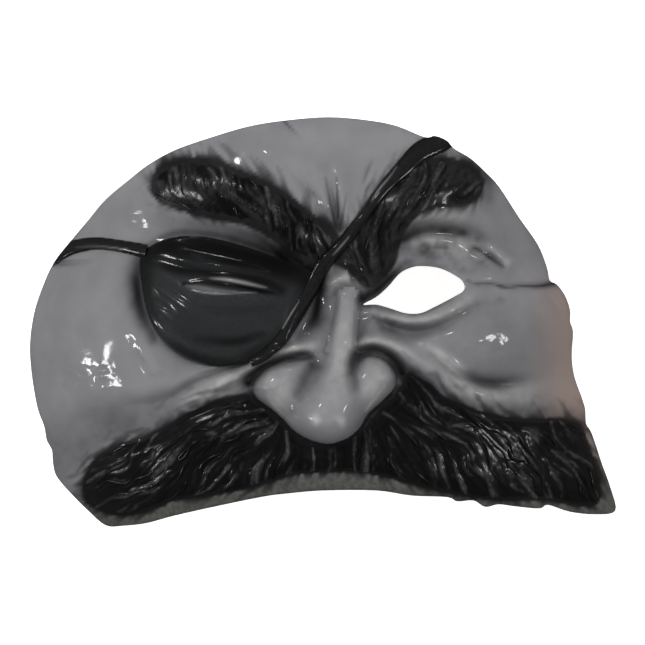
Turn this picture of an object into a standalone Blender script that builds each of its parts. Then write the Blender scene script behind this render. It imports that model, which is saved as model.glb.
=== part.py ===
"""Pirate half mask: a moulded and lacquered face shell with a closed left eye under a
patch, the patch's two straps, two brows and a moustache laid on it in relief.

It lies face up on its cut rim. +X is the viewer's right, +Y the forehead, +Z out of the
face, and z = 0 is the floor. Tables hold shares: across is a share of half the width,
up a share of half the height, and the other columns follow the size that each names.
"""

import bmesh
import bpy
import numpy as np

# Driving sizes, in metres
MASK_WIDTH = 0.206
MASK_HEIGHT = 0.143
VAULT_DEPTH = 0.056      # the face's height above the floor before the nose and folds
WALL = 0.0022            # the moulded wall
RIM_LIP = 0.0014         # least height of the rim's cut side
SWELL_RISE = 0.010       # broad forms of bone and cheek
SWELL_REACH = 0.020
FOLD_RISE = 0.005        # folds and creases of the skin
FOLD_BREADTH = 0.005
NOSE_RISE = 0.027        # nose tip above the face
NOSE_BREADTH = 0.010     # half the breadth of the tip
LAYER_GAP = 0.0003       # clearance under and between the laid-on pieces
LAYER_EDGE = 0.0011      # thickness of a laid-on piece at its edge
EDGE_RUN = 0.0045        # how far in from its edge a piece gains its full thickness
PATCH_THICKNESS = 0.0020
STRAP_THICKNESS = 0.0024
STRAP_BREADTH = 0.0050   # half the strap's breadth at its widest
BROW_THICKNESS = 0.0024
MOUSTACHE_THICKNESS = 0.0034
LOCK_RISE = 0.0014       # locks of hair that stand from a brow or the moustache
LOCK_BREADTH = 0.0062

# Fineness of the faceted surfaces, in metres
OUTER_SPACING = 0.0055
INNER_SPACING = 0.0060
GRID_MARGIN = 1.05
GRID_FOCUS = 0.72
SETTLING_STEPS = 24
SETTLING_PULL = 3.0
CURVE_STEPS = 2
CALM_PLACES = 6          # places in the ring that evens out the face
CALM_WEIGHT = 2          # how much more its middle counts than each of them
HOLLOW_PLACES = 8        # places in each ring that keeps the hollow clear of the face
FAR_DROP = WALL * 0.7    # how far the hollow stays below the wider ring
WELD = 0.00001           # corners closer than this are one

HALF_WIDTH = MASK_WIDTH / 2
HALF_HEIGHT = MASK_HEIGHT / 2
NOSE_MIDDLE = (0.03, -0.20)
RIDGE_ACROSS = 0.05
FULLNESS = 3.0
FOLD_POWER = 2.2         # how boxy the rounded forms are across
CREASE_POWER = 1.8
CREST_POWER = 2.4
PUFF_POWER = 2.2
HOLLOW_POWER = 2.0
BELOW = -0.02
ABOVE = VAULT_DEPTH + SWELL_RISE * 3 + NOSE_RISE * 2

# The head's sections from chin side to forehead: up, crown as a share of the vault's depth,
# and the left and right edges across, where the section reaches the floor
HEAD_SECTIONS = [
    (-1.10, 0.84, -0.78, 1.085),
    (-0.95, 0.88, -0.835, 1.035),
    (-0.70, 0.93, -0.955, 0.985),
    (-0.40, 0.95, -1.010, 0.920),
    (-0.10, 0.94, -1.028, 0.882),
    (0.20, 0.93, -0.980, 0.830),
    (0.40, 0.96, -0.895, 0.770),
    (0.60, 0.96, -0.875, 0.760),
    (0.80, 0.87, -0.850, 0.750),
    (1.05, 0.64, -0.800, 0.700),
]

# The cut rim, from the lower left corner over the forehead to the lower right: across, up
OUTLINE = [
    (-0.74, -1.00), (-0.80, -0.93), (-0.86, -0.845), (-0.91, -0.76), (-0.922, -0.69),
    (-0.925, -0.63), (-0.943, -0.58), (-0.952, -0.51), (-0.975, -0.42), (-0.995, -0.25),
    (-1.00, -0.10), (-0.985, 0.05), (-0.955, 0.18), (-0.92, 0.29), (-0.86, 0.40),
    (-0.80, 0.50), (-0.74, 0.60), (-0.655, 0.70), (-0.59, 0.77), (-0.50, 0.84),
    (-0.38, 0.90), (-0.25, 0.955), (-0.12, 0.985), (0.02, 1.00), (0.15, 0.985),
    (0.25, 0.957), (0.345, 0.902), (0.38, 0.908), (0.42, 0.885), (0.447, 0.845),
    (0.50, 0.80), (0.55, 0.735), (0.60, 0.66), (0.67, 0.51), (0.735, 0.38),
    (0.765, 0.27), (0.775, 0.205), (0.80, 0.185), (0.828, 0.13), (0.845, 0.06),
    (0.845, 0.00), (0.855, -0.05), (0.85, -0.17), (0.86, -0.27), (0.885, -0.37),
    (0.897, -0.43), (0.90, -0.50), (0.92, -0.55), (0.955, -0.70), (0.985, -0.82),
    (1.00, -0.93), (0.93, -0.945), (0.84, -0.93), (0.765, -0.895), (0.735, -0.912),
    (0.65, -0.90), (0.595, -0.89), (0.55, -0.902), (0.51, -0.87), (0.455, -0.874),
    (0.42, -0.853), (0.30, -0.845), (0.18, -0.82), (0.00, -0.82), (-0.12, -0.835),
    (-0.20, -0.85), (-0.35, -0.895), (-0.50, -0.945), (-0.60, -0.985), (-0.68, -1.00),
]

# The open eye: across, up
EYE_HOLE = [
    (0.137, 0.085), (0.18, 0.12), (0.22, 0.17), (0.26, 0.235), (0.30, 0.265),
    (0.34, 0.272), (0.40, 0.26), (0.45, 0.225), (0.475, 0.195), (0.478, 0.155),
    (0.44, 0.12), (0.38, 0.075), (0.33, 0.043), (0.28, 0.043), (0.22, 0.07), (0.18, 0.085),
]

# Broad forms: across, up, rise as a share of SWELL_RISE, reach along and across as shares
# of SWELL_REACH, turn in degrees, and how boxy its top is
SWELLINGS = {
    "brow_bone_left": (-0.33, 0.60, 0.55, 1.50, 0.50, -32, 2.5),
    "brow_bone_left_inner": (-0.10, 0.42, 0.50, 0.70, 0.40, -50, 2.3),
    "brow_bone_right": (0.40, 0.62, 0.55, 1.10, 0.45, 25, 2.5),
    "brow_bone_right_inner": (0.15, 0.42, 0.45, 0.75, 0.45, 60, 2.3),
    "frown": (0.03, 0.56, 0.20, 0.60, 0.45, 90, 2.0),
    "forehead_left": (-0.25, 0.82, 0.15, 1.50, 0.45, -18, 2.0),
    "socket_right": (0.40, 0.34, -0.70, 1.30, 0.45, -8, 2.4),
    "socket_inner": (0.20, 0.14, -0.50, 0.40, 0.30, 40, 2.0),
    "socket_left": (-0.33, 0.36, -0.45, 1.35, 0.30, -14, 2.4),
    "patch_cup": (-0.37, -0.01, 0.80, 1.30, 0.78, -8, 2.6),
    "nose_root_left": (-0.05, 0.04, -0.35, 0.25, 0.45, -20, 2.0),
    "cheek_right": (0.60, -0.085, 0.85, 1.30, 0.62, -3, 2.8),
    "cheek_right_side": (0.76, -0.02, 0.35, 0.60, 0.70, 0, 2.4),
    "cheek_left": (-0.78, -0.12, 0.50, 1.00, 1.20, 0, 2.4),
    "cheek_left_low": (-0.62, -0.33, 0.20, 1.30, 0.40, 8, 2.4),
    "mouth": (0.02, -0.75, 0.30, 2.50, 0.80, 0, 2.4),
    "hollow_left": (-0.60, -0.46, -0.15, 1.50, 0.35, 12, 2.0),
}

# Folds that rise from the skin: across, up, rise as a share of FOLD_RISE, breadth as a
# share of FOLD_BREADTH
FOLDS = {
    "lid_right": [
        (0.25, 0.30, 0.10, 0.60), (0.33, 0.375, 0.64, 0.72), (0.43, 0.375, 0.68, 0.68),
        (0.53, 0.34, 0.60, 0.64), (0.62, 0.27, 0.30, 0.60),
    ],
    "lid_right_inner": [
        (0.33, 0.315, 0.12, 0.44), (0.42, 0.32, 0.32, 0.48), (0.50, 0.285, 0.36, 0.52),
        (0.57, 0.24, 0.20, 0.48),
    ],
    "brow_ledge_right": [
        (0.29, 0.49, 0.30, 0.60), (0.38, 0.52, 0.48, 0.72), (0.48, 0.51, 0.52, 0.80),
        (0.57, 0.44, 0.36, 0.90), (0.66, 0.33, 0.20, 1.00),
    ],
    "lower_lid_right": [
        (0.14, 0.05, 0.30, 0.40), (0.22, 0.025, 0.60, 0.48), (0.31, 0.005, 0.72, 0.52),
        (0.40, 0.04, 0.64, 0.52), (0.49, 0.11, 0.40, 0.52),
    ],
    "over_rim_crease": [
        (0.50, 0.22, 0.20, 0.70), (0.62, 0.235, 0.40, 0.90), (0.72, 0.235, 0.50, 1.00),
        (0.79, 0.24, 0.50, 1.00),
    ],
    "cheek_line_right": [
        (0.11, -0.115, 0.40, 0.52), (0.17, -0.09, 0.90, 0.60), (0.25, -0.125, 1.00, 0.68),
        (0.34, -0.22, 0.90, 0.80), (0.44, -0.315, 0.76, 0.88), (0.54, -0.385, 0.52, 1.00),
        (0.68, -0.41, 0.20, 1.10),
    ],
    "cheek_fold_right": [
        (0.34, -0.11, 0.20, 0.48), (0.40, -0.18, 0.52, 0.52), (0.47, -0.26, 0.56, 0.56),
        (0.55, -0.345, 0.44, 0.64), (0.66, -0.355, 0.28, 0.72), (0.78, -0.33, 0.10, 0.80),
    ],
    "cheek_line_left": [
        (-0.03, -0.10, 0.20, 0.48), (-0.09, -0.125, 0.80, 0.52), (-0.17, -0.165, 0.80, 0.52),
        (-0.24, -0.215, 0.64, 0.48), (-0.31, -0.275, 0.68, 0.60), (-0.40, -0.35, 0.68, 0.72),
        (-0.48, -0.42, 0.44, 0.84), (-0.58, -0.49, 0.20, 1.00),
    ],
    "cheek_fold_left": [
        (-0.27, -0.20, 0.16, 0.36), (-0.36, -0.235, 0.40, 0.44), (-0.46, -0.285, 0.48, 0.56),
        (-0.56, -0.33, 0.32, 0.68), (-0.66, -0.34, 0.12, 0.80),
    ],
    "bridge_cap": [
        (0.00, 0.12, 0.20, 0.44), (0.035, 0.185, 0.80, 0.60), (0.08, 0.215, 1.40, 0.72),
        (0.125, 0.185, 1.10, 0.60), (0.155, 0.13, 0.30, 0.44),
    ],
    "frown_left": [
        (-0.02, 0.75, 0.10, 0.50), (0.01, 0.62, 0.32, 0.52), (0.035, 0.50, 0.32, 0.44),
    ],
    "frown_right": [
        (0.055, 0.75, 0.08, 0.50), (0.065, 0.62, 0.28, 0.48), (0.075, 0.50, 0.28, 0.44),
    ],
    "forehead_left": [
        (-0.19, 0.84, 0.16, 0.80), (-0.08, 0.70, 0.32, 0.90), (-0.01, 0.56, 0.36, 0.80),
    ],
    "patch_seat_left": [
        (-0.64, -0.06, 0.08, 0.40), (-0.605, -0.15, 0.24, 0.44), (-0.585, -0.24, 0.16, 0.44),
    ],
}

# Creases that sink into the skin, in the same columns
CREASES = {
    "right_rim": [
        (0.485, 0.185, 0.20, 0.24), (0.56, 0.172, 0.48, 0.28), (0.66, 0.168, 0.64, 0.32),
        (0.74, 0.178, 0.80, 0.36), (0.80, 0.185, 0.90, 0.40),
    ],
    "crow_foot": [(0.50, 0.40, 0.06, 0.24), (0.55, 0.35, 0.32, 0.24), (0.61, 0.28, 0.20, 0.20)],
    "under_lid_right": [
        (0.16, 0.03, 0.30, 0.36), (0.24, -0.03, 0.72, 0.40), (0.32, -0.055, 0.84, 0.44),
        (0.42, -0.02, 0.84, 0.44), (0.50, 0.055, 0.68, 0.40), (0.60, 0.115, 0.40, 0.40),
    ],
    "under_cheek_right": [
        (0.45, -0.235, 0.10, 0.40), (0.52, -0.285, 0.52, 0.52), (0.60, -0.305, 0.56, 0.56),
        (0.70, -0.29, 0.20, 0.60),
    ],
    "over_lid_right": [
        (0.27, 0.40, 0.20, 0.44), (0.36, 0.445, 0.50, 0.52), (0.46, 0.435, 0.56, 0.56),
        (0.54, 0.39, 0.36, 0.48),
    ],
    "over_wing_right": [
        (0.10, -0.20, 0.70, 0.36), (0.12, -0.155, 0.80, 0.32), (0.17, -0.135, 0.80, 0.30),
        (0.22, -0.165, 0.70, 0.32), (0.265, -0.23, 0.60, 0.40),
    ],
    "over_wing_left": [
        (-0.03, -0.21, 0.50, 0.30), (-0.05, -0.17, 0.60, 0.28), (-0.11, -0.175, 0.70, 0.30),
        (-0.19, -0.215, 0.70, 0.32), (-0.25, -0.275, 0.60, 0.36),
    ],
    "frown": [(0.03, 0.68, 0.08, 0.20), (0.045, 0.56, 0.36, 0.26), (0.055, 0.46, 0.48, 0.28)],
    "forehead_left": [
        (-0.17, 0.82, 0.04, 0.40), (-0.07, 0.68, 0.20, 0.36), (-0.01, 0.55, 0.20, 0.32),
    ],
    "left_rim": [(-0.93, 0.29, 0.40, 0.20), (-0.86, 0.288, 0.28, 0.18), (-0.79, 0.30, 0.08, 0.16)],
    "under_cheek_left": [
        (-0.25, -0.205, 0.30, 0.24), (-0.34, -0.245, 0.44, 0.28), (-0.44, -0.30, 0.40, 0.32),
        (-0.53, -0.385, 0.24, 0.40), (-0.66, -0.40, 0.12, 0.48),
    ],
}

# The nose's outline on the face: across, up
NOSE_EDGE = [
    (0.055, 0.155), (0.043, 0.08), (0.03, -0.02), (0.012, -0.11), (-0.02, -0.165),
    (-0.08, -0.175), (-0.14, -0.19), (-0.20, -0.235), (-0.238, -0.305), (-0.225, -0.37),
    (-0.175, -0.425), (-0.135, -0.475), (-0.095, -0.535), (-0.04, -0.578), (0.02, -0.595),
    (0.08, -0.572), (0.125, -0.52), (0.155, -0.45), (0.20, -0.39), (0.245, -0.32),
    (0.25, -0.25), (0.215, -0.185), (0.165, -0.16), (0.128, -0.165), (0.117, -0.10),
    (0.122, 0.00), (0.128, 0.08), (0.125, 0.155),
]

# Sections down the nose: up, its middle across, the crest's and the wings' height as shares
# of NOSE_RISE, the crest's half breadth and the edge's radius as shares of NOSE_BREADTH
NOSE_SECTIONS = [
    (0.17, 0.090, 0.22, 0.22, 0.50, 0.30),
    (0.05, 0.083, 0.39, 0.37, 0.50, 0.32),
    (-0.08, 0.070, 0.54, 0.44, 0.52, 0.36),
    (-0.18, 0.060, 0.68, 0.50, 0.60, 0.55),
    (-0.28, 0.048, 0.81, 0.54, 0.85, 0.80),
    (-0.38, 0.034, 0.94, 0.55, 1.15, 0.90),
    (-0.47, 0.025, 0.98, 0.54, 1.30, 0.90),
    (-0.60, 0.020, 0.92, 0.48, 1.30, 0.90),
]

# The cheek's slope up to the nose: across, up, rise as a share of NOSE_RISE, breadth as a
# share of NOSE_BREADTH
NOSE_FLANK = [
    (0.065, 0.14, 0.07, 0.60), (0.05, 0.02, 0.18, 0.80), (0.04, -0.10, 0.26, 1.10),
    (0.03, -0.22, 0.28, 1.40), (0.02, -0.34, 0.26, 1.50), (0.02, -0.45, 0.22, 1.50),
]

# The hollows between the nose's bar and its wings, in the same columns
NOSE_HOLLOWS = [
    [
        (0.005, -0.17, 0.15, 0.22), (-0.018, -0.23, 0.16, 0.28), (-0.045, -0.30, 0.12, 0.32),
        (-0.075, -0.37, 0.07, 0.34), (-0.10, -0.44, 0.03, 0.30),
    ],
    [
        (0.118, -0.17, 0.17, 0.20), (0.112, -0.23, 0.18, 0.26), (0.118, -0.30, 0.13, 0.30),
        (0.135, -0.37, 0.06, 0.32), (0.15, -0.43, 0.02, 0.30),
    ],
]

# Straps from the rim to the patch: across, up, half breadth as a share of STRAP_BREADTH
STRAP_UPPER = [
    (0.43, 0.92, 0.74), (0.40, 0.88, 0.74), (0.33, 0.83, 0.72), (0.27, 0.745, 0.60),
    (0.20, 0.64, 0.46), (0.13, 0.50, 0.42), (0.06, 0.37, 0.44), (0.00, 0.27, 0.50),
    (-0.045, 0.15, 0.52), (-0.09, 0.03, 0.50), (-0.14, -0.08, 0.46), (-0.20, -0.16, 0.42),
    (-0.245, -0.195, 0.36),
]
STRAP_SIDE = [
    (-0.96, 0.29, 0.48), (-0.915, 0.325, 0.48), (-0.86, 0.365, 0.48), (-0.78, 0.385, 0.44),
    (-0.70, 0.375, 0.42), (-0.60, 0.345, 0.50),
]

# Outlines of the laid-on pieces: across, up
PATCH = [
    (-0.62, 0.31), (-0.615, 0.20), (-0.60, 0.08), (-0.575, -0.02), (-0.53, -0.11),
    (-0.46, -0.18), (-0.37, -0.215), (-0.29, -0.22), (-0.225, -0.18), (-0.15, -0.08),
    (-0.10, 0.03), (-0.053, 0.15), (-0.03, 0.235), (-0.16, 0.315), (-0.28, 0.375),
    (-0.40, 0.415), (-0.50, 0.415), (-0.58, 0.375),
]
BROW_LEFT = [
    (-0.565, 0.60), (-0.575, 0.70), (-0.54, 0.77), (-0.46, 0.80), (-0.36, 0.79),
    (-0.27, 0.73), (-0.19, 0.68), (-0.12, 0.62), (-0.05, 0.54), (0.02, 0.47),
    (0.06, 0.37), (0.02, 0.31), (-0.03, 0.275), (-0.10, 0.325), (-0.17, 0.40),
    (-0.25, 0.47), (-0.36, 0.50), (-0.47, 0.54),
]
BROW_RIGHT = [
    (0.06, 0.37), (0.03, 0.30), (0.08, 0.255), (0.155, 0.17), (0.20, 0.20), (0.24, 0.28),
    (0.26, 0.38), (0.29, 0.47), (0.33, 0.53), (0.42, 0.56), (0.50, 0.58), (0.54, 0.63),
    (0.54, 0.70), (0.50, 0.77), (0.42, 0.80), (0.33, 0.80), (0.275, 0.745), (0.20, 0.64),
    (0.13, 0.50),
]
MOUSTACHE = [
    (-0.25, -0.36), (-0.30, -0.365), (-0.38, -0.40), (-0.46, -0.45), (-0.54, -0.52),
    (-0.62, -0.57), (-0.70, -0.60), (-0.76, -0.66), (-0.80, -0.73), (-0.82, -0.82),
    (-0.80, -0.895), (-0.73, -0.94), (-0.65, -0.945), (-0.56, -0.91), (-0.50, -0.87),
    (-0.40, -0.85), (-0.30, -0.825), (-0.20, -0.79), (-0.10, -0.745), (0.00, -0.73),
    (0.10, -0.73), (0.20, -0.75), (0.30, -0.79), (0.40, -0.825), (0.50, -0.855),
    (0.60, -0.87), (0.75, -0.87), (0.84, -0.895), (0.92, -0.90), (0.95, -0.84),
    (0.93, -0.70), (0.90, -0.57), (0.87, -0.50), (0.80, -0.475), (0.70, -0.475),
    (0.60, -0.46), (0.50, -0.42), (0.42, -0.37), (0.35, -0.30), (0.29, -0.25),
    (0.262, -0.33), (0.21, -0.405), (0.165, -0.475), (0.12, -0.545), (0.02, -0.605),
    (-0.06, -0.58), (-0.14, -0.485), (-0.20, -0.41),
]

# The patch's folds of leather: across, up, rise as a share of PATCH_THICKNESS, breadth as a
# share of FOLD_BREADTH; a fold with a negative rise is a crease
PATCH_FOLDS = [
    [
        (-0.60, 0.20, 0.30, 0.50), (-0.585, 0.08, 0.60, 0.50), (-0.555, -0.02, 0.70, 0.50),
        (-0.51, -0.09, 0.70, 0.50), (-0.45, -0.15, 0.70, 0.50), (-0.37, -0.185, 0.60, 0.50),
        (-0.29, -0.19, 0.30, 0.50),
    ],
    [
        (-0.58, 0.30, 0.20, 0.60), (-0.50, 0.21, 0.60, 0.70), (-0.42, 0.15, 0.70, 0.70),
        (-0.30, 0.145, 0.60, 0.70), (-0.17, 0.14, 0.30, 0.60),
    ],
    [
        (-0.57, 0.30, -0.25, 0.40), (-0.50, 0.265, -0.45, 0.45), (-0.40, 0.24, -0.45, 0.50),
        (-0.30, 0.225, -0.45, 0.50), (-0.20, 0.20, -0.40, 0.45), (-0.15, 0.16, -0.20, 0.40),
    ],
    [
        (-0.50, 0.375, -0.10, 0.35), (-0.42, 0.345, -0.35, 0.35), (-0.30, 0.31, -0.35, 0.35),
        (-0.15, 0.27, -0.10, 0.35),
    ],
    [(-0.42, -0.08, -0.10, 0.35), (-0.30, -0.10, -0.35, 0.35), (-0.20, -0.06, -0.10, 0.35)],
]

# Where each head of hair grows from, across and up
BROW_LEFT_ROOT = (0.10, 0.10)
BROW_RIGHT_ROOT = (0.12, -0.10)
MOUSTACHE_ROOT = (0.03, 0.20)

# Colours, roughness and metallic value of each finish
FINISHES = {
    "mask_shell": ((0.235, 0.230, 0.242, 1), 0.22, 0.0),
    "eye_patch": ((0.022, 0.023, 0.024, 1), 0.20, 0.0),
    "patch_strap_upper": ((0.020, 0.021, 0.022, 1), 0.25, 0.0),
    "patch_strap_side": ((0.020, 0.021, 0.022, 1), 0.25, 0.0),
    "eyebrow_left": ((0.014, 0.014, 0.015, 1), 0.35, 0.0),
    "eyebrow_right": ((0.014, 0.014, 0.015, 1), 0.35, 0.0),
    "moustache": ((0.012, 0.012, 0.013, 1), 0.35, 0.0),
}


def placed(rows):
    """Rows of shares with their first two columns as metres across and up."""
    rows = np.array(rows, float)
    rows[:, 0] *= HALF_WIDTH
    rows[:, 1] *= HALF_HEIGHT
    return rows


def rounded(rows, closed=False):
    """A smooth line through the rows, with all their columns."""
    rows = placed(rows)
    if closed:
        padded = np.vstack([rows[-1:], rows, rows[:2]])
    else:
        padded = np.vstack([2 * rows[0] - rows[1], rows, 2 * rows[-1] - rows[-2]])
    share = np.linspace(0, 1, CURVE_STEPS, endpoint=False)[:, None]
    stretches = []
    for a, b, c, d in zip(padded, padded[1:], padded[2:], padded[3:]):
        bend = (c - a) * share + (2 * a - 5 * b + 4 * c - d) * share ** 2
        stretches.append(b + (bend + (3 * b - a - 3 * c + d) * share ** 3) / 2)
    if not closed:
        stretches.append(rows[-1:])
    return np.vstack(stretches)


def through(rows, at):
    """Natural cubic splines through a table's columns, read at values of its first one."""
    rows = np.array(sorted(rows), float)
    knots, values = rows[:, 0], rows[:, 1:]
    gaps = np.diff(knots)
    slopes = np.diff(values, axis=0) / gaps[:, None]
    count = len(knots)
    matrix = np.eye(count)
    target = np.zeros_like(values)
    for i in range(1, count - 1):
        matrix[i, i - 1:i + 2] = gaps[i - 1], 2 * (gaps[i - 1] + gaps[i]), gaps[i]
        target[i] = 6 * (slopes[i] - slopes[i - 1])
    bends = np.linalg.solve(matrix, target)
    at = np.clip(at, knots[0], knots[-1])
    i = np.clip(np.searchsorted(knots, at) - 1, 0, count - 2)
    gap = gaps[i][..., None]
    before = (knots[i + 1] - at)[..., None] / gap
    after = 1 - before
    line = before * values[i] + after * values[i + 1]
    curve = (before ** 3 - before) * bends[i] + (after ** 3 - after) * bends[i + 1]
    return np.moveaxis(line + curve * gap ** 2 / 6, -1, 0)


def nearest_on(line, x, y):
    """Distance from places to a line, and the line's other columns at the nearest point."""
    start = line[:-1]
    step = np.diff(line, axis=0)
    length = (step[:, :2] ** 2).sum(-1)
    places = np.stack([x, y], -1)[..., None, :]
    share = ((places - start[:, :2]) * step[:, :2]).sum(-1) / length
    share = np.clip(share, 0, 1)
    offset = places - start[:, :2] - share[..., None] * step[:, :2]
    distance = np.sqrt((offset ** 2).sum(-1))
    nearest = distance.argmin(-1)
    share = np.take_along_axis(share, nearest[..., None], -1)
    return distance.min(-1), (start[nearest] + share * step[nearest])[..., 2:]


def depth_inside(outline, x, y):
    """Distance to a closed outline, positive inside it and negative outside."""
    closed = np.vstack([outline, outline[:1]])
    distance, _ = nearest_on(closed, x, y)
    inside = np.zeros(np.shape(x), bool)
    for (ax, ay), (bx, by) in zip(closed, closed[1:]):
        if ay != by:
            crosses = (ay > y) != (by > y)
            inside ^= crosses & (x < (bx - ax) * (y - ay) / (by - ay) + ax)
    return np.where(inside, distance, -distance)


def ease(share):
    """A smooth step from 0 to 1."""
    share = np.clip(share, 0, 1)
    return share * share * (3 - 2 * share)


def ridge(rows, x, y, rise, breadth, power=FOLD_POWER):
    """A rounded ridge along a path, its rows giving shares of a rise and a breadth."""
    distance, column = nearest_on(rounded(rows), x, y)
    return rise * column[..., 0] * np.exp(-(distance / (breadth * column[..., 1])) ** power)


def head_height(x, y):
    """The vault of the head, a full arch from side to side at each height."""
    crown, left, right = through(HEAD_SECTIONS, y / HALF_HEIGHT)
    across = x / HALF_WIDTH - RIDGE_ACROSS
    half = np.where(across < 0, RIDGE_ACROSS - left, right - RIDGE_ACROSS)
    return VAULT_DEPTH * crown * (1 - np.abs(across / half) ** FULLNESS)


def swelling(row, x, y):
    """A broad oval form of bone or flesh."""
    across, up, rise, along, girth, turn, power = row
    dx = x - across * HALF_WIDTH
    dy = y - up * HALF_HEIGHT
    angle = np.radians(turn)
    lengthways = (dx * np.cos(angle) + dy * np.sin(angle)) / (along * SWELL_REACH)
    sideways = (dy * np.cos(angle) - dx * np.sin(angle)) / (girth * SWELL_REACH)
    return rise * SWELL_RISE * np.exp(-np.hypot(lengthways, sideways) ** power)


def nose_height(x, y):
    """The nose above the cheeks: a puffed-up outline with a crest, and its flanks."""
    flank = ridge(NOSE_FLANK, x, y, NOSE_RISE, NOSE_BREADTH)
    middle, crest, wing, half, edge = through(NOSE_SECTIONS, y / HALF_HEIGHT)
    off = np.abs(x - middle * HALF_WIDTH) / (half * NOSE_BREADTH)
    body = NOSE_RISE * (wing + (crest - wing) * np.exp(-off ** CREST_POWER))
    inward = np.clip(depth_inside(rounded(NOSE_EDGE, True), x, y) / (edge * NOSE_BREADTH), 0, 1)
    puff = np.sqrt(1 - (1 - inward) ** PUFF_POWER)
    rise = np.clip(body - flank, 0, None) * puff
    for hollow in NOSE_HOLLOWS:
        rise = rise - ridge(hollow, x, y, NOSE_RISE, NOSE_BREADTH, HOLLOW_POWER)
    return flank + np.clip(rise, 0, None)


def skin_height(x, y):
    """The moulded face with all its forms."""
    height = head_height(x, y) + nose_height(x, y)
    for row in SWELLINGS.values():
        height = height + swelling(row, x, y)
    for rows in FOLDS.values():
        height = height + ridge(rows, x, y, FOLD_RISE, FOLD_BREADTH)
    for rows in CREASES.values():
        height = height - ridge(rows, x, y, FOLD_RISE, FOLD_BREADTH, CREASE_POWER)
    return height


def around(height, x, y, radius, count):
    """Heights at a ring of places round each given one."""
    turns = np.linspace(0, 2 * np.pi, count, endpoint=False)
    return [height(x + radius * np.cos(turn), y + radius * np.sin(turn)) for turn in turns]


def calm_height(x, y):
    """The face evened out over the spacing of the facets, so that no crease breaks them."""
    total = CALM_WEIGHT * skin_height(x, y)
    total = total + np.sum(around(skin_height, x, y, OUTER_SPACING / 2, CALM_PLACES), axis=0)
    return total / (CALM_WEIGHT + CALM_PLACES)


def face_height(x, y):
    """The outer surface, which keeps a low upright lip round the rim."""
    return np.maximum(calm_height(x, y), RIM_LIP)


def hollow_height(x, y):
    """The inner surface, at least one wall below everything that is near on the outer one."""
    heights = [calm_height(x, y) - WALL]
    heights += around(calm_height, x, y, WALL, HOLLOW_PLACES)
    far = np.min(around(calm_height, x, y, INNER_SPACING / 2, HOLLOW_PLACES), axis=0)
    return np.maximum(np.minimum(np.min(heights, axis=0), far - FAR_DROP), BELOW / 2)


def grid_lines(length, spacing, middle):
    """Places along one side of the grid, closer together round the middle of the nose."""
    even = np.linspace(-1, 1, round(length * GRID_MARGIN / spacing) + 1)
    drawn = even * (GRID_FOCUS + (1 - GRID_FOCUS) * even ** 2)
    return (drawn + middle * (1 - drawn ** 2)) * length / 2 * GRID_MARGIN


def settled_grid(spacing):
    """A grid of places over the face, drawn together where its surface is steep."""
    across = grid_lines(MASK_WIDTH, spacing, NOSE_MIDDLE[0])
    up = grid_lines(MASK_HEIGHT, spacing, NOSE_MIDDLE[1])
    x, y = np.meshgrid(across, up)
    for _ in range(SETTLING_STEPS):
        z = np.maximum(skin_height(x, y), RIM_LIP)
        pulls = []
        for axis in (0, 1):
            flat = np.hypot(np.diff(x, axis=axis), np.diff(y, axis=axis))
            stretch = np.hypot(flat, np.diff(z, axis=axis)) / flat
            pulls.append(np.minimum(stretch, SETTLING_PULL))
        south, north = pulls[0][:-1, 1:-1], pulls[0][1:, 1:-1]
        west, east = pulls[1][1:-1, :-1], pulls[1][1:-1, 1:]
        total = south + north + west + east
        for place in (x, y):
            moved = south * place[:-2, 1:-1] + north * place[2:, 1:-1]
            moved = moved + west * place[1:-1, :-2] + east * place[1:-1, 2:]
            place[1:-1, 1:-1] = (place[1:-1, 1:-1] + moved / total) / 2
    return x, y


def sheet(x, y, z):
    """A grid of triangles through the given places."""
    rows, columns = z.shape
    mesh = bmesh.new()
    bmesh.ops.create_grid(mesh, x_segments=columns - 1, y_segments=rows - 1, size=1)
    for vertex, place in zip(mesh.verts, np.stack([x, y, z], -1).reshape(-1, 3)):
        vertex.co = place
    bmesh.ops.triangulate(mesh, faces=mesh.faces, quad_method="FIXED")
    return mesh


def closed_down(mesh, bottom):
    """Turns a sheet into a block that reaches down to a flat bottom."""
    rim = [edge for edge in mesh.edges if edge.is_boundary]
    grown = bmesh.ops.extrude_edge_only(mesh, edges=rim)["geom"]
    for item in grown:
        if isinstance(item, bmesh.types.BMVert):
            item.co.z = bottom
    bmesh.ops.holes_fill(mesh, edges=mesh.edges)
    bmesh.ops.recalc_face_normals(mesh, faces=mesh.faces)
    return mesh


def collection(name):
    """A new collection in the scene."""
    group = bpy.data.collections.new(name)
    bpy.context.scene.collection.children.link(group)
    return group


def solid(name, mesh, group):
    """An object made of a finished mesh."""
    data = bpy.data.meshes.new(name)
    mesh.to_mesh(data)
    mesh.free()
    item = bpy.data.objects.new(name, data)
    group.objects.link(item)
    return item


def cutter(name, mesh, group):
    """A hidden object that only shapes others."""
    item = solid(name, mesh, group)
    item.hide_render = True
    item.display_type = "WIRE"
    return item


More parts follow.
